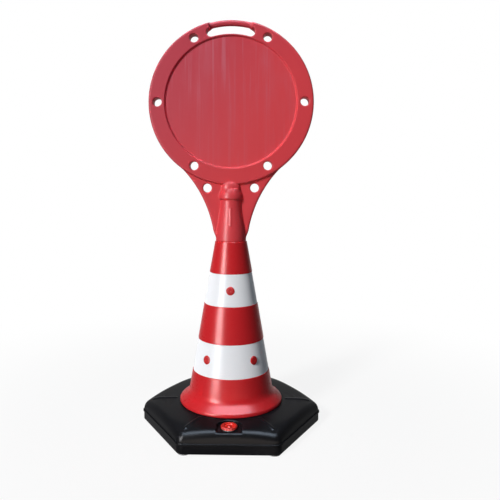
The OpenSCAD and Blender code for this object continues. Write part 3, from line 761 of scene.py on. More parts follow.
def band_film(tones):
    """White reflective film with a fine lattice of cells under a clear face."""
    finish = Finish("band_film", gloss=0.03, **{"Diffuse Roughness": 1.0})
    turn = finish.x.math("ARCTAN2", finish.x, finish.y * -1)
    # Phase of the lattice for each radian around and each metre up
    around, upward = 150, 1900
    turns, rows = turn * around, finish.z * upward
    lattice = (turns + rows).math("SINE", turns + rows) * (turns - rows).math("SINE", turns - rows)
    lines = 1 - abs(lattice).between(0.02, 0.2)
    grime = finish.noise((30, 30, 12), detail=4.0).between(0.55, 0.8)
    tone = finish.mix(lines * 0.4, tones.film_white, tones.film_line)
    tone = finish.mix(grime * 0.12, tone, tones.film_line)
    rough = 0.3 + lines * 0.1 + grime * 0.15
    return finish.wear(tone, rough, lines, depth=0.05 * MM, strength=0.2)


def rivet_plastic(tones):
    """Red of the rivets, a little duller than the cone."""
    finish = Finish("rivet_plastic", gloss=0.035)
    fleck = finish.noise(400)
    tone = finish.mix(fleck.between(0.5, 0.8) * 0.3, tones.rivet_red, tones.cone_scuff)
    return finish.wear(tone, 0.34 + fleck * 0.12, fleck, depth=0.1 * MM, strength=0.3)


def tank_plastic(tones):
    """Waxy black with a fine cast grain, drag marks and dusty edges near the ground."""
    finish = Finish("tank_plastic", gloss=0.014)
    grain = finish.noise(750)
    broad = finish.noise(14, detail=4.0, rough=0.6)
    drag = finish.noise((220, 220, 30), detail=5.0, rough=0.7).between(0.62, 0.76)
    low = 1 - finish.z.between(2 * MM, TRAY_HIGH.z)
    dust = low * broad.between(0.45, 0.7) * 0.3 + drag * 0.12
    tone = finish.mix(dust, tones.tank_black, tones.tank_scuff)
    rough = 0.27 + broad * 0.08 + dust * 0.3
    height = grain * 0.3 + broad * 0.6 + drag * 0.2
    return finish.wear(tone, rough, height, depth=0.2 * MM, strength=0.25)


def foot_rubber(tones):
    """Dull black rubber with ground-in dust."""
    finish = Finish("foot_rubber", gloss=0.5)
    grain = finish.noise(600, detail=4.0)
    dust = finish.noise(60, detail=4.0).between(0.45, 0.75)
    tone = finish.mix(dust * 0.4, tones.rubber_black, tones.tank_scuff)
    return finish.wear(tone, 0.65 + dust * 0.2, grain, depth=0.3 * MM, strength=0.5)


def cap_plastic(base, tones):
    """Bright glossy red with worn flutes."""
    finish = Finish("cap_plastic", gloss=0.045)
    fleck = finish.noise(500)
    ring = finish.x.far(finish.y - FILLER_Y)
    head_r = base.cap_d / 2
    rim = ring.between(head_r - 1.4 * MM, head_r - 0.2 * MM)
    worn = rim * finish.noise(300).between(0.4, 0.65)
    tone = finish.mix(worn * 0.4, tones.cap_red, tones.cone_scuff)
    rough = 0.25 + fleck * 0.1 + worn * 0.2
    return finish.wear(tone, rough, fleck, depth=0.1 * MM, strength=0.25)


def board_middle(sizes):
    """Height of the middle of the round board."""
    return BOARD_HIGH.z - sizes.grip_rise - sizes.radius


def disc_field(sizes, x, y, up):
    """Round board with a sunk face on each side."""
    ring = np.hypot(x, up)
    sunk = ramp((sizes.radius - sizes.rim_w - ring) / sizes.recess_slope)
    face = np.abs(y) - sizes.thickness / 2 + sizes.recess_depth * sunk
    return soft_max(face, ring - sizes.radius, sizes.rim_round)


def web_field(sizes, x, y, up):
    """Fan between the board and the neck, with hollow side edges."""
    side_x = BOARD_HIGH.y + sizes.web_edge_r
    reach = sizes.radius + sizes.web_edge_r - sizes.web_cut
    drop = math.sqrt(reach ** 2 - side_x ** 2)
    edge = sizes.web_edge_r - np.hypot(np.abs(x) - side_x, up + drop)
    over_seam = up + board_middle(sizes) - BOARD_LOW.z
    edge = edge + sizes.web_fade * ramp(1 - over_seam / sizes.web_foot)
    top = up + drop * sizes.radius / reach
    fan = soft_max(np.abs(y) - sizes.web_t / 2, edge, sizes.web_round)
    return np.maximum(fan, top)


def slot_places(sizes):
    """Ring radius of the grip bar, ring radius of the slot's middle, and the slot's half angle."""
    bar_ring = sizes.radius + sizes.grip_rise - sizes.grip_d / 2
    middle_r = bar_ring - sizes.grip_d / 2 - sizes.slot_h / 2
    return bar_ring, middle_r, math.asin((sizes.slot_l - sizes.slot_h) / 2 / middle_r)


def slot_field(sizes, x, up):
    """Hand slot with round ends, open outward past the board's edge."""
    _, middle_r, half = slot_places(sizes)
    end = np.hypot(np.abs(x) - middle_r * math.sin(half), up - middle_r * math.cos(half)) - sizes.slot_h / 2
    sector = np.abs(x) * math.cos(half) - up * math.sin(half)
    return np.minimum(end, np.maximum(middle_r - sizes.slot_h / 2 - np.hypot(x, up), sector))


def bar_field(sizes, x, y, up):
    """Round grip bar that runs on into the rim, half as far again as the slot."""
    bar_ring, _, half = slot_places(sizes)
    end = half * 1.5
    bar = np.hypot(np.hypot(x, up) - bar_ring, y) - sizes.grip_d / 2
    return np.maximum(bar, np.abs(x) * math.cos(end) - up * math.sin(end))


def neck_heights(sizes):
    """Heights of the seam, the waist's top, the bulb's belly and the crease under the nub."""
    seam = BOARD_LOW.z
    bulb = seam + sizes.neck_l + sizes.waist_l
    return seam, bulb, bulb + sizes.bulb_h * sizes.bulb_wide, bulb + sizes.bulb_h


def neck_reach(sizes, z):
    """Radius of the neck and its bulb at a height."""
    seam, bulb, belly, crease = neck_heights(sizes)
    fall = np.clip((z - seam) / sizes.neck_l, 0, 1)
    column = sizes.waist_r + (sizes.neck_r - sizes.waist_r) * (1 + np.cos(np.pi * fall)) / 2
    rise = np.clip((z - belly) / (crease - belly), 0, 1)
    crease_r = sizes.bulb_r * sizes.bulb_crease
    dome = crease_r + (sizes.bulb_r - crease_r) * np.cos(np.pi / 2 * rise)
    # This share of the ledge lies under the waist's top
    lead = 0.3
    return column + (dome - column) * ramp((z - bulb) / sizes.bulb_ledge + lead)


def neck_field(sizes, x, y, z):
    """Neck with its bulb, nub and key ribs."""
    _, _, _, crease = neck_heights(sizes)
    ring = np.hypot(x, y)
    column = np.maximum(ring - neck_reach(sizes, z), z - crease)
    out = np.maximum(np.abs(y) - sizes.nub_deep + sizes.nub_round, 0) / sizes.nub_round
    nub = np.sqrt((x / sizes.nub_r) ** 2 + out ** 2 + ((z - crease) / sizes.nub_h) ** 2)
    nub = (nub - 1) * sizes.nub_round
    rib_r = sizes.rib_w / 2
    rib_high = BOARD_LOW.z + sizes.rib_top - rib_r
    past = np.maximum(np.maximum(rib_high + rib_r - sizes.rib_l - z, z - rib_high), 0)
    rib_y = neck_reach(sizes, z) + sizes.rib_rise - rib_r
    rib = np.sqrt(x ** 2 + (np.abs(y) - rib_y) ** 2 + past ** 2) - rib_r
    return soft_min(soft_min(column, nub, sizes.crease_round), rib, sizes.crease_round)


def socket_field(sizes, x, y, z):
    """Hollow of the neck, with the keyways for the spigot's keys."""
    _, _, _, crease = neck_heights(sizes)
    hollow = np.maximum(np.hypot(x, y) - neck_reach(sizes, z) + sizes.wall, z - crease)
    key_high = BOARD_LOW.z + sizes.rib_top - sizes.rib_w / 2
    way_y = neck_reach(sizes, key_high) + sizes.rib_rise - sizes.key_wall
    way = np.maximum(np.abs(x) - sizes.rib_w / 2 + sizes.key_wall, np.abs(y) - way_y)
    return np.minimum(hollow, np.maximum(way, z - key_high))


def board_field(sizes):
    """The whole sign board, negative inside."""
    middle_z = board_middle(sizes)
    places = [2 * math.pi * i / sizes.hole_count for i in range(sizes.hole_count)]
    holes = [
        (sizes.hole_ring_r * math.cos(a), sizes.hole_ring_r * math.sin(a), sizes.hole_r) for a in places
    ]
    web_hole_up = BOARD_LOW.z + sizes.web_hole_h - middle_z
    holes += [(side * sizes.web_hole_x, web_hole_up, sizes.web_hole_r) for side in (-1, 1)]

    def field(x, y, z):
        up = z - middle_z
        solid = soft_min(disc_field(sizes, x, y, up), web_field(sizes, x, y, up), sizes.web_blend)
        solid = soft_max(solid, -slot_field(sizes, x, up), sizes.hole_round)
        solid = soft_min(solid, bar_field(sizes, x, y, up), sizes.grip_blend)
        for hole_x, hole_up, hole_r in holes:
            solid = soft_max(solid, hole_r - np.hypot(x - hole_x, up - hole_up), sizes.hole_round)
        solid = soft_min(solid, neck_field(sizes, x, y, z), sizes.neck_blend)
        solid = soft_max(solid, BOARD_LOW.z - z, sizes.edge_round)
        return soft_max(solid, -socket_field(sizes, x, y, z), sizes.edge_round)

    return field


class CONESIGN_OT_board(bpy.types.Operator):
    """Makes the hollow sign board with its hand slot, web and neck."""

    bl_idname = "conesign.board"
    bl_label = "Make Sign Board"

    def execute(self, context):
        sizes = context.scene.conesign_board
        shape = netted(board_field(sizes), BOARD_LOW, BOARD_HIGH, sizes.cell)
        finish = board_plastic(sizes, context.scene.conesign_finish)
        put("sign_board_moulding", shape, finish, "board", "board_plastic", "sign_board")
        return {"FINISHED"}


def cone_reach(sizes, z):
    """Radius of the cone's straight side at a height."""
    return BOARD_HIGH.y + (BOARD_LOW.z - z) * math.tan(sizes.side_angle)


def lip_reach(sizes):
    """Radius of the cone's foot lip."""
    return CONE_HIGH.x - sizes.lip_trim


def flare_line(sizes):
    """Distance of the flare's straight line from the origin, along its normal."""
    a = sizes.flare_angle
    reach = lip_reach(sizes) - sizes.lip_round
    return reach * math.cos(a) + (CONE_LOW.z + sizes.lip_h) * math.sin(a) + sizes.lip_round


def flare_start(sizes, inset):
    """Point where the flare's line meets the side's line, both moved in by a wall."""
    a, b = sizes.flare_angle, sizes.side_angle
    side = BOARD_HIGH.y * math.cos(b) + BOARD_LOW.z * math.sin(b) - inset
    flare = flare_line(sizes) - inset
    turn = math.sin(a - b)
    reach = (side * math.sin(a) - flare * math.sin(b)) / turn
    return reach, (flare * math.cos(b) - side * math.cos(a)) / turn


def spigot_points(cone, board, inset):
    """Curve of the spigot from the seam to under its round top."""
    seam, top = BOARD_LOW.z, CONE_HIGH.z - cone.wall
    heights = np.linspace(seam, top, SPIGOT_POINTS)
    gap = board.wall + cone.spigot_gap + inset
    return [(float(neck_reach(board, z)) - gap, float(z)) for z in heights]


def cone_outline(cone, board):
    """Outline of the cone's wall, from the inside of the spigot round the lip to the spigot's top."""
    seam, top, seat = BOARD_LOW.z, CONE_HIGH.z, CONE_LOW.z
    lip_r, lip_in_r = lip_reach(cone), lip_reach(cone) - cone.lip_w
    a = cone.flare_angle
    edge = 1 * MM
    inner = spigot_points(cone, board, cone.wall)
    corners = [(0, top - cone.wall, 0), (inner[-1][0], top - cone.wall, edge)]
    corners += [(r, z, 0) for r, z in inner[-2:1:-1]]
    corners += [(inner[0][0], seam - cone.wall, edge)]
    lip_in_z = (flare_line(cone) - cone.wall - lip_in_r * math.cos(a)) / math.sin(a)
    corners += [(*flare_start(cone, cone.wall), cone.flare_round), (lip_in_r, lip_in_z, edge)]
    lip_z = (flare_line(cone) - lip_r * math.cos(a)) / math.sin(a)
    corners += [(lip_in_r, seat, edge), (lip_r, seat, cone.lip_edge), (lip_r, lip_z, cone.lip_round)]
    corners += [(*flare_start(cone, 0), cone.flare_round)]
    for low, high in (BANDS["lower"][0], BANDS["upper"][0]):
        for z, deep in ((low.z - cone.seat_edge, 0), (low.z - cone.seat_edge, 1),
                        (high.z + cone.seat_edge, 1), (high.z + cone.seat_edge, 0)):
            corners.append((cone_reach(cone, z) - deep * cone.seat_depth, z, edge * (0.5 if deep else 1)))
    outer = spigot_points(cone, board, 0)
    corners += [(cone_reach(cone, seam), seam, cone.shoulder_round), (*outer[0], edge / 2)]
    corners += [(r, z, 0) for r, z in outer[1:-1]]
    corners += [(outer[-1][0], top, cone.wall), (0, top, 0)]
    return rounded(corners)


def key_fins(cone, board):
    """Two upright keys on the spigot, as one soft-edged block each."""
    half = board.rib_w / 2 - board.key_wall - cone.spigot_gap
    high = BOARD_LOW.z + board.rib_top - board.rib_w / 2 - cone.spigot_gap
    low = BOARD_LOW.z + board.rib_top - board.rib_l
    root = float(neck_reach(board, high)) - board.wall - cone.wall / 2
    tip = float(neck_reach(board, high)) + board.rib_rise - board.key_wall - cone.spigot_gap
    block = rounded(
        [(0, low, 0), (half, low, half / 2), (half, high, half / 2), (0, high, 0)], steps=3
    )
    # Four stations make a square block, whose flats are then brought out to the key's width and depth
    angles = np.radians([45, 135, 225, 315])
    widen = math.sqrt(2)
    deepen = widen * (tip - root) / 2 / half
    fins = []
    for side in (-1, 1):
        middle = np.array([0, side * (root + tip) / 2])
        points, faces, normals = swept(block, (np.tile(middle, (4, 1)), angles))
        points[:, 0] *= widen
        points[:, 1] = (points[:, 1] - middle[1]) * deepen + middle[1]
        fins.append((points, faces, normals))
    return fins


def cone_wall(cone, board):
    """The cone's wall, with a mould line down each side."""
    half = math.radians(0.7)
    line = half * np.array([-1, -0.5, 0.5, 1])
    skin = 0.5 * MM

    def mould_line(angles, reach, height):
        near = np.clip(1 - np.abs(np.sin(angles)) / math.sin(half), 0, 1)
        outside = reach > cone_reach(cone, height) - skin
        under_board = height < BOARD_LOW.z - cone.shoulder_round
        return cone.flash_h * near * (outside & under_board & (height > CONE_LOW.z + cone.lip_edge))

    stations = round_stations(CONE_STATIONS, extra=np.concatenate([line, line + np.pi]))
    return swept(cone_outline(cone, board), stations, mould_line)


class CONESIGN_OT_cone(bpy.types.Operator):
    """Makes the hollow cone with its flared foot, band seats and spigot."""

    bl_idname = "conesign.cone"
    bl_label = "Make Cone"

    def execute(self, context):
        cone = context.scene.conesign_cone
        board = context.scene.conesign_board
        shape = as_mesh(*joined([cone_wall(cone, board), *key_fins(cone, board)]))
        finish = cone_plastic(context.scene.conesign_finish)
        put("cone_moulding", shape, finish, "cone", "cone_plastic", "cone_shell")
        return {"FINISHED"}


def band_reach(cone, z):
    """Radius of a band's outer face at a height."""
    return cone_reach(cone, z) - cone.seat_depth + cone.band_gap + cone.band_t


def band_sleeve(cone, low, high):
    """One reflective sleeve, with a welded lap at the back."""
    edge = 0.4 * MM
    corners = []
    for z, outer in ((low.z, 0), (low.z, 1), (high.z, 1), (high.z, 0)):
        corners.append((band_reach(cone, z) - cone.band_t * (1 - outer), z, edge))
    half = cone.lap_w / 2 / band_reach(cone, (low.z + high.z) / 2)
    # The lap's edges rise over a twelfth of its half width
    step = half / 12
    lap = np.pi / 2 + np.array([-half - step, -half, half, half + step])

    def welded_lap(angles, reach, height):
        start = np.clip((angles - lap[0]) / step, 0, 1)
        end = np.clip((lap[-1] - angles) / step, 0, 1)
        return cone.lap_h * np.minimum(start, end) * (reach > band_reach(cone, height) - edge / 2)

    outline = rounded(corners, closed=True, steps=3)
    return swept(outline, round_stations(CONE_STATIONS, extra=lap), welded_lap, closed=True)


class CONESIGN_OT_bands(bpy.types.Operator):
    """Makes the two white reflective sleeves."""

    bl_idname = "conesign.bands"
    bl_label = "Make Reflective Bands"

    def execute(self, context):
        cone = context.scene.conesign_cone
        finish = band_film(context.scene.conesign_finish)
        for name, ((low, high), _) in BANDS.items():
            shape = as_mesh(*band_sleeve(cone, low, high))
            put(f"{name}_band_sleeve", shape, finish, "cone", "band_film", f"{name}_reflective_band")
        return {"FINISHED"}


def rivet(cone, heading, z):
    """One push rivet, bent to the band that it sits on."""
    head_r, head_h = cone.rivet_d / 2, cone.rivet_h
    shank_r = cone.shank_d / 2
    barb_r, barb_room = shank_r * 1.4, 0.6 * MM
    grip = cone.band_t + cone.band_gap + cone.wall - cone.seat_depth + barb_room
    tail = grip + cone.shank_d
    seat = 0.05 * MM
    crown_r, crown_z = head_r * 0.82, head_h * 0.86
    dimple_r, dimple_z = head_r * 0.22, head_h * 0.8
    outline = rounded([
        (0, -tail, 0), (shank_r / 2, -tail, shank_r / 6), (barb_r, -grip, shank_r / 6),
        (shank_r, -grip, shank_r / 12), (shank_r, seat, shank_r / 12), (head_r, seat, seat * 4),
        (head_r, head_h / 3, head_h / 4), (crown_r, crown_z, head_h), (head_r / 2, head_h, head_h),
        (dimple_r, head_h, head_h / 6), (dimple_r * 0.75, dimple_z, head_h / 6), (0, dimple_z, 0),
    ], steps=4)
    points, faces, normals = swept(outline, round_stations(SMALL_STATIONS))
    lean = cone.side_angle
    out = np.array([math.sin(heading), -math.cos(heading), 0.0])
    across = np.array([math.cos(heading), math.sin(heading), 0.0])
    axis = out * math.cos(lean) + np.array([0, 0, math.sin(lean)])
    rise = np.cross(axis, across)
    basis = np.stack([across, rise, axis])
    foot = out * band_reach(cone, z) + np.array([0, 0, z])
    drop = np.zeros(len(points))
    for _ in range(4):
        at = foot + points[:, :1] * across + points[:, 1:2] * rise + drop[:, None] * axis
        drop -= (np.hypot(at[:, 0], at[:, 1]) - band_reach(cone, at[:, 2])) * math.cos(lean)
    bent = points.copy()
    bent[:, 2] += drop
    return foot + bent @ basis, faces, normals @ basis


class CONESIGN_OT_rivets(bpy.types.Operator):
    """Makes the push rivets that hold the bands."""

    bl_idname = "conesign.rivets"
    bl_label = "Make Rivets"

    def execute(self, context):
        cone = context.scene.conesign_cone
        finish = rivet_plastic(context.scene.conesign_finish)
        for name, ((low, high), headings) in BANDS.items():
            middle_z = (low.z + high.z) / 2
            shape = as_mesh(*joined([rivet(cone, math.radians(a), middle_z) for a in headings]))
            put(f"{name}_push_rivets", shape, finish, "cone", "rivet_plastic", f"{name}_band_rivets")
        return {"FINISHED"}


def side_reach(base):
    """Distance from the middle to the flat of the tank's side, under the flange."""
    return COVER_HIGH.y - base.flange_out


def corner_ring(base):
    """Radius of the ring that the middles of the tank's round corners lie on."""
    return (side_reach(base) - base.corner_r) / COS_30


def cover_reach(base, z):
    """Distance from the middle to the flat of the cover's leaning side at a height."""
    foot = COVER_LOW.z + base.flange_t
    return side_reach(base) - np.maximum(z - foot, 0) * math.tan(base.side_angle)


def flange_edge(base):
    """Rounding of the flange's inner edges, and its reach from the middles of the tank's corners."""
    return base.flange_t * 0.3, base.corner_r + base.flange_out - base.trim


class CONESIGN_OT_tray(bpy.types.Operator):
    """Makes the lower half of the ballast tank with its half of the welded flange."""

    bl_idname = "conesign.tray"
    bl_label = "Make Tank Tray"

    def execute(self, context):
        base = context.scene.conesign_base
        r, low, high = base.corner_r, TRAY_LOW.z, TRAY_HIGH.z
        core, under = r / 4, high - base.flange_t
        edge, out = flange_edge(base)
        outline = rounded([
            (core, low, 0), (r, low, base.tray_round), (r, under, edge),
            (out, under, base.bead_round), (out, high, edge / 2), (core, high, 0),
        ], steps=5)
        shape = as_mesh(*swept(outline, hexagon_stations(corner_ring(base))))
        finish = tank_plastic(context.scene.conesign_finish)
        put("tank_tray", shape, finish, "base", "tank_plastic", "base_tray")
        return {"FINISHED"}


class CONESIGN_OT_feet(bpy.types.Operator):
    """Makes the six rubber feet, each with a rounded edge and a hollow tread."""

    bl_idname = "conesign.feet"
    bl_label = "Make Feet"

    def execute(self, context):
        base = context.scene.conesign_base
        r, low, high = base.foot_d / 2, FEET_LOW.z, FEET_HIGH.z
        tread = (high - low) / 6
        hollow_r, tread_r = r * 0.3, r * 0.36
        outline = rounded([
            (0, low + tread, 0), (hollow_r, low + tread, tread / 2), (tread_r, low, tread / 2),
            (r, low, tread * 1.5), (r, high, tread), (0, high, 0),
        ], steps=4)
        ring_r = corner_ring(base)
        feet = []
        for corner in range(0, 360, 60):
            a = math.radians(corner)
            middle = (ring_r * math.cos(a), ring_r * math.sin(a))
            feet.append(swept(outline, round_stations(SMALL_STATIONS, middle)))
        finish = foot_rubber(context.scene.conesign_finish)
        put("rubber_feet", as_mesh(*joined(feet)), finish, "base", "foot_rubber", "base_feet")
        return {"FINISHED"}


def hexagon_gap(x, y, flat_r):
    """Distance from a hexagon with flats to the front and back."""
    across, deep = np.abs(x), np.abs(y)
    fold = 2 * np.minimum(deep / 2 - COS_30 * across, 0)
    across, deep = across + fold * COS_30, deep - fold / 2
    half = flat_r * math.tan(math.radians(30))
    return np.hypot(across - np.clip(across, -half, half), deep - flat_r) * np.sign(deep - flat_r)


def roof_height(base, ring):
    """Height of the cover's roof at a distance from the axis."""
    past = ring - side_reach(base) + base.edge_w
    turned = (past + np.hypot(past, base.edge_soft)) / 2
    level = np.maximum(ring - CONE_HIGH.x - base.roof_land, 0)
    edge = math.tan(base.edge_angle) - math.tan(base.roof_angle)
    return CONE_LOW.z - level * math.tan(base.roof_angle) - turned * edge


def ridge_field(base, x, y, z):
    """Round ridge down the roof towards each corner."""
    turn = np.arctan2(y, x)
    turn = turn - np.round(turn / (np.pi / 3)) * np.pi / 3
    ring = np.hypot(x, y)
    start = CONE_HIGH.x + base.roof_land + base.ridge_r
    end = side_reach(base)
    along = np.clip(ring * np.cos(turn), start, end)
    under = base.ridge_r - base.ridge_h
    aside = np.hypot(ring * np.sin(turn), ring * np.cos(turn) - along)
    return np.hypot(aside, z - roof_height(base, along) + under) - base.ridge_r


def plug_field(base, cone, ring, z):
    """Plug that centres the cone, with a sloped shoulder."""
    a = cone.flare_angle
    shoulder = ring * math.cos(a) + z * math.sin(a) - flare_line(cone) + cone.wall + base.plug_shoulder_gap
    side = ring - lip_reach(cone) + cone.lip_w + base.plug_gap
    return soft_max(soft_max(side, shoulder, base.plug_round), z - COVER_HIGH.z, base.plug_round)


def pocket_field(base, x, y, z):
    """Round filler pocket that opens through the front."""
    plan = np.where(y > FILLER_Y, np.hypot(x, y - FILLER_Y), np.abs(x) + 0 * y) - base.pocket_r
    return soft_max(plan, GASKET_LOW.z - z, base.pocket_round)


def cover_field(base, cone):
    """The upper half of the tank, negative inside."""
    def field(x, y, z):
        ring = np.hypot(x, y)
        flat = hexagon_gap(x, y, cover_reach(base, z) - base.corner_r) - base.corner_r
        side = flat * math.cos(base.side_angle)
        roof = (z - roof_height(base, ring)) * math.cos(base.roof_angle)
        roof = soft_min(roof, ridge_field(base, x, y, z), base.ridge_h)
        solid = soft_max(side, roof, base.arris_round)
        solid = soft_max(solid, -pocket_field(base, x, y, z), base.pocket_round)
        solid = np.minimum(solid, plug_field(base, cone, ring, z))
        bore = base.bore_r + base.bore_wall - np.hypot(x, y - FILLER_Y)
        solid = np.maximum(solid, np.minimum(bore + 0 * z, z - GASKET_LOW.z + base.bore_l))
        return np.maximum(solid, COVER_LOW.z + base.flange_t / 2 - z)

    return field


def screw_ridge(base, angles, height, start, turns):
    """Height of a thread's ridge, from 0 to 1, around a shank or bore."""
    way = (height - start) / base.thread_pitch - angles / (2 * np.pi)
    turn = np.round(way)
    off = np.abs(way - turn) * base.thread_pitch
    done = turn + angles / (2 * np.pi)
    foot, crest = 0.21 * base.thread_pitch, 0.1 * base.thread_pitch
    # The ridge fades over an eighth of a turn at each end
    fades = ramp(done * 8) * ramp((turns - done) * 8)
    return ramp((foot - off) / (foot - crest)) * fades


def thread_start(base):
    """Height at which the cap's thread starts, so that its foot clears the shank's end."""
    lead = 0.42 * base.thread_pitch
    return CAP_LOW.z + lead


def cover_flange(base):
    """The cover's half of the welded flange."""
    low, high = COVER_LOW.z, COVER_LOW.z + base.flange_t
    core = base.corner_r / 2
    edge, out = flange_edge(base)
    outline = rounded([
        (core, low, edge), (out, low, edge / 2), (out, high, base.bead_round), (core, high, edge),
    ], closed=True, steps=5)
    return swept(outline, hexagon_stations(corner_ring(base)), closed=True)


def filler_insert(base):
    """Threaded insert of the filler bore, which reaches a little into the cover."""
    in_r, out_r = base.bore_r, base.bore_r + base.bore_wall * 1.1
    high, low = GASKET_LOW.z, GASKET_LOW.z - base.bore_l
    edge, skin, step = 0.4 * MM, 0.1 * MM, 0.5 * MM
    outline = rounded([
        (out_r, high, edge / 2), (in_r, high, edge), (in_r, low, edge), (out_r, low, edge),
    ], closed=True, steps=3)
    outline = divided(np.vstack([outline, outline[:1]]), step)[:-1]
    start = thread_start(base) + base.thread_pitch / 2
    turns = 0.9

    def inner_thread(angles, reach, height):
        ridge = screw_ridge(base, angles, height, start, turns)
        return base.thread_depth * ridge * (reach < in_r + skin)

    return swept(outline, round_stations(BORE_STATIONS, (0, FILLER_Y)), inner_thread, closed=True)


class CONESIGN_OT_cover(bpy.types.Operator):
    """Makes the upper half of the tank, its half of the flange and the threaded filler insert."""

    bl_idname = "conesign.cover"
    bl_label = "Make Tank Cover"

    def execute(self, context):
        base = context.scene.conesign_base
        cone = context.scene.conesign_cone
        finish = tank_plastic(context.scene.conesign_finish)
        shape = netted(cover_field(base, cone), COVER_LOW, COVER_HIGH, base.cell)
        put("tank_cover", shape, finish, "base", "tank_plastic", "base_cover")
        shape = as_mesh(*cover_flange(base))
        put("tank_cover_flange", shape, finish, "base", "tank_plastic", "base_cover")
        shape = as_mesh(*filler_insert(base))
        put("filler_insert", shape, finish, "base", "tank_plastic", "base_cover")
        return {"FINISHED"}


class CONESIGN_OT_gasket(bpy.types.Operator):
    """Makes the sealing ring under the cap."""

    bl_idname = "conesign.gasket"
    bl_label = "Make Gasket"

    def execute(self, context):
        base = context.scene.conesign_base
        low, high = GASKET_LOW.z, GASKET_HIGH.z
        room = 0.35 * MM
        out_r, in_r = GASKET_HIGH.x, base.bore_r + room
        edge = (high - low) / 3
        corners = [(in_r, low, edge), (out_r, low, edge), (out_r, high, edge), (in_r, high, edge)]
        outline = rounded(corners, closed=True, steps=4)
        shape = as_mesh(*swept(outline, round_stations(GASKET_STATIONS, (0, FILLER_Y)), closed=True))
        finish = foot_rubber(context.scene.conesign_finish)
        put("cap_sealing_ring", shape, finish, "gasket", "foot_rubber", "cap_gasket")
        return {"FINISHED"}


def cap_wall(base):
    """The screw cap's wall, with its cup, boss, flutes and threaded shank."""
    foot, top = CAP_LOW.z + base.shank_l, CAP_HIGH.z
    head_r, cup_r, boss_r = base.cap_d / 2, base.cup_d / 2, base.boss_d / 2
    shank_r = base.thread_d / 2 - base.thread_depth
    bore_r = shank_r - base.shank_wall
    cup_z, boss_z, edge = top - base.cup_depth, top - base.boss_drop, 0.5 * MM
    outline = rounded([
        (0, foot, 0), (bore_r, foot, edge), (bore_r, CAP_LOW.z, edge), (shank_r, CAP_LOW.z, edge),
        (shank_r, foot, edge / 2), (head_r, foot, edge), (head_r, top, base.cap_round),
        (cup_r, top, edge), (cup_r, cup_z, edge * 2), (boss_r, cup_z, edge),
        (boss_r, boss_z, edge * 1.6), (0, boss_z, 0),
    ], steps=5, step=0.55 * MM)
    start, turns = thread_start(base), 1.6
    rim_w, rim_foot = 1.6 * MM, 0.2 * MM
    skin, thread_room = 0.05 * MM, 0.6 * MM

    def grip_and_thread(angles, reach, height):
        flute = np.clip(np.cos(angles * base.flute_count), 0, 1) ** 1.5
        on_rim = ramp((reach - head_r + rim_w) / MM) * ramp((height - foot - rim_foot) / MM)
        on_shank = (np.abs(reach - shank_r) < skin) & (height < foot - thread_room)
        thread = base.thread_depth * screw_ridge(base, angles, height, start, turns) * on_shank
        return thread - base.flute_depth * flute * on_rim

    stations = round_stations(base.flute_count * FLUTE_STATIONS, (0, FILLER_Y))
    return swept(outline, stations, grip_and_thread)


class CONESIGN_OT_cap(bpy.types.Operator):
    """Makes the screw cap."""

    bl_idname = "conesign.cap"
    bl_label = "Make Filler Cap"

    def execute(self, context):
        base = context.scene.conesign_base
        finish = cap_plastic(base, context.scene.conesign_finish)
        put("screw_cap", as_mesh(*cap_wall(base)), finish, "cap", "cap_plastic", "filler_cap")
        return {"FINISHED"}


def beside(azimuth, distance, height):
    """A place beside the axis, with its azimuth counted from the front to the right."""
    return Vector((distance * math.sin(azimuth), -distance * math.cos(azimuth), height))


def front_camera(stage, scene):
    """A level camera that looks at the axis."""
    camera = bpy.data.cameras.new("camera")
    camera.lens = stage.lens
    camera.shift_x = stage.shift_x
    camera.shift_y = stage.shift_y
    viewer = bpy.data.objects.new("camera", camera)
    viewer.location = beside(stage.camera_azimuth, stage.camera_distance, stage.camera_height)
    viewer.rotation_euler = (math.radians(90), 0, stage.camera_azimuth)
    scene.collection.objects.link(viewer)
    scene.camera = viewer


def area_lamp(scene, name, place, target, watts):
    """An area lamp at a place, turned to a target."""
    lamp = bpy.data.lights.new(name, "AREA")
    lamp.energy = watts
    holder = bpy.data.objects.new(name, lamp)
    holder.location = place
    holder.rotation_euler = (target - place).to_track_quat("-Z", "Y").to_euler()
    scene.collection.objects.link(holder)
    return holder


def mirror_card(scene, name, place, target, watts, size):
    """A bright card that shows in the gloss of the pieces, and adds no other light."""
    card = area_lamp(scene, name, place, target, watts)
    card.data.shape = "RECTANGLE"
    card.data.size, card.data.size_y = size
    card.visible_diffuse = False
    return card


def lamps(stage, scene):
    """A key light, and cards overhead, on the left and on the ground that the gloss shows."""
    middle = Vector((0, 0, BOARD_HIGH.z / 2))
    level = stage.key_distance * math.cos(stage.key_height)
    way = beside(stage.key_azimuth, level, stage.key_distance * math.sin(stage.key_height))
    key = area_lamp(scene, "key", middle + way, middle, stage.key_power)
    key.data.size = stage.key_size

    over = Vector((0, stage.card_y, stage.card_height))
    under = Vector((0, stage.card_y, 0))
    card = mirror_card(scene, "sky_card", over, under, stage.card_power, (stage.card_w, stage.card_d))
    card.data.color = stage.sky_tint

    left = beside(stage.strip_azimuth, stage.strip_distance, stage.strip_h / 2)
    axis = Vector((0, 0, stage.strip_h / 2))
    mirror_card(scene, "strip", left, axis, stage.strip_power, (stage.strip_w, stage.strip_h))

    ahead = Vector((0, stage.ground_y, stage.ground_gap))
    above = ahead + Vector((0, 0, 1))
    size = (stage.ground_w, stage.ground_w)
    ground = mirror_card(scene, "ground_card", ahead, above, stage.ground_power, size)
    ground.data.color = stage.ground_tint
    ground.visible_camera = False


def white_to_view(nodes):
    """1 for the rays by which the camera, mirrors and glass see a background, 0 for the rest."""
    path = nodes.node("ShaderNodeLightPath")
    seen = Signal(nodes, path.outputs["Is Camera Ray"])
    seen = seen.math("MAXIMUM", seen, path.outputs["Is Transmission Ray"])
    return seen.math("MAXIMUM", seen, path.outputs["Is Glossy Ray"])


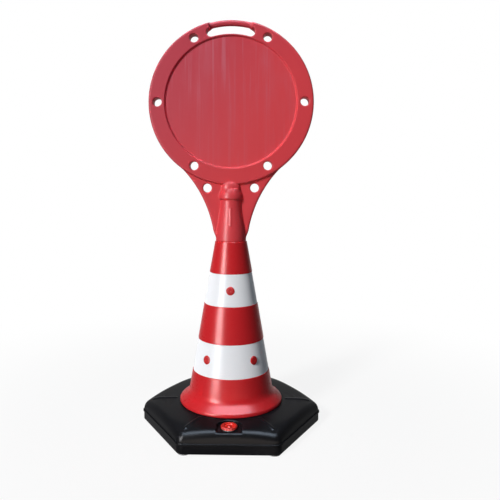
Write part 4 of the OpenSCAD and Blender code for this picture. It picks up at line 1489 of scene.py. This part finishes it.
def sky_world(stage, scene):
    """White to the camera, mirrors and glass, and a soft cool light to the rest."""
    scene.world = bpy.data.worlds.new("sky")
    scene.world.use_nodes = True
    nodes = Nodes(scene.world.node_tree)
    seen = white_to_view(nodes)
    white = nodes.node("ShaderNodeBackground", None, {"Color": WHITE, "Strength": 1.0})
    light = nodes.node(
        "ShaderNodeBackground", None, {"Color": opaque(stage.sky_tint), "Strength": stage.sky_power}
    )
    mixed = nodes.node("ShaderNodeMixShader", None, {0: seen, 1: light.outputs[0], 2: white.outputs[0]})
    nodes.node("ShaderNodeOutputWorld", None, {"Surface": mixed.outputs[0]})


def floor_finish(stage):
    """Pale paint that holds the shadow and fades to white in the distance."""
    material = bpy.data.materials.new("floor")
    material.use_nodes = True
    nodes = Nodes(material.node_tree)
    place = nodes.node("ShaderNodeTexCoord").outputs["Object"]
    measure = nodes.node("ShaderNodeVectorMath", {"operation": "LENGTH"}, {0: place})
    far = Signal(nodes, measure.outputs["Value"]).between(stage.fade_start, stage.fade_end)
    seen = white_to_view(nodes)
    tone = nodes.mix(seen, stage.floor_dim, stage.floor_tone)
    paint = nodes.node("ShaderNodeBsdfDiffuse", None, {"Color": tone})
    white = nodes.node("ShaderNodeEmission", None, {"Color": WHITE, "Strength": 1.0})
    fade = (stage.floor_glow + (1 - stage.floor_glow) * far) * seen
    mixed = nodes.node("ShaderNodeMixShader", None, {0: fade, 1: paint.outputs[0], 2: white.outputs[0]})
    nodes.node("ShaderNodeOutputMaterial", None, {"Surface": mixed.outputs[0]})
    return material


def floor_sheet(stage, scene):
    """The floor, a square around the axis."""
    half = stage.floor_size / 2
    corners = [(-half, -half, 0), (half, -half, 0), (half, half, 0), (-half, half, 0)]
    mesh = bpy.data.meshes.new("floor")
    mesh.from_pydata(corners, [], [(0, 1, 2, 3)])
    mesh.materials.append(floor_finish(stage))
    floor = bpy.data.objects.new("floor", mesh)
    scene.collection.objects.link(floor)


class CONESIGN_OT_stage(bpy.types.Operator):
    """Makes the camera, the light, the sky and the pale floor."""

    bl_idname = "conesign.stage"
    bl_label = "Make Stage"

    def execute(self, context):
        scene, stage = context.scene, context.scene.conesign_stage
        scene.view_settings.view_transform = "Standard"
        for step in (front_camera, lamps, sky_world, floor_sheet):
            step(stage, scene)
        return {"FINISHED"}


SETTINGS = {
    "conesign_board": CONESIGN_PG_board,
    "conesign_cone": CONESIGN_PG_cone,
    "conesign_base": CONESIGN_PG_base,
    "conesign_finish": CONESIGN_PG_finish,
    "conesign_stage": CONESIGN_PG_stage,
}
STEPS = (
    CONESIGN_OT_stage, CONESIGN_OT_tray, CONESIGN_OT_cover, CONESIGN_OT_feet, CONESIGN_OT_cone,
    CONESIGN_OT_bands, CONESIGN_OT_rivets, CONESIGN_OT_board, CONESIGN_OT_gasket, CONESIGN_OT_cap,
)


class CONESIGN_PT_panel(bpy.types.Panel):
    """Lists the steps that build the sign, and its sizes and colours."""

    bl_idname = "CONESIGN_PT_panel"
    bl_label = "Cone Sign"
    bl_space_type = "VIEW_3D"
    bl_region_type = "UI"
    bl_category = "Cone Sign"

    def draw(self, context):
        for step in STEPS:
            self.layout.operator(step.bl_idname)
        for name, group in SETTINGS.items():
            box = self.layout.box()
            for key in group.__annotations__:
                box.prop(getattr(context.scene, name), key)


CLASSES = (*SETTINGS.values(), *STEPS, CONESIGN_PT_panel)


def register():
    """Adds the classes and the groups of settings."""
    for cls in CLASSES:
        bpy.utils.register_class(cls)
    for name, group in SETTINGS.items():
        setattr(bpy.types.Scene, name, bpy.props.PointerProperty(type=group))


def unregister():
    """Takes the groups of settings and the classes away."""
    for name in SETTINGS:
        delattr(bpy.types.Scene, name)
    for cls in reversed(CLASSES):
        bpy.utils.unregister_class(cls)


def main():
    """Builds every piece in order."""
    register()
    for step in STEPS:
        group, name = step.bl_idname.split(".")
        getattr(getattr(bpy.ops, group), name)()


if __name__ == "__main__":
    main()
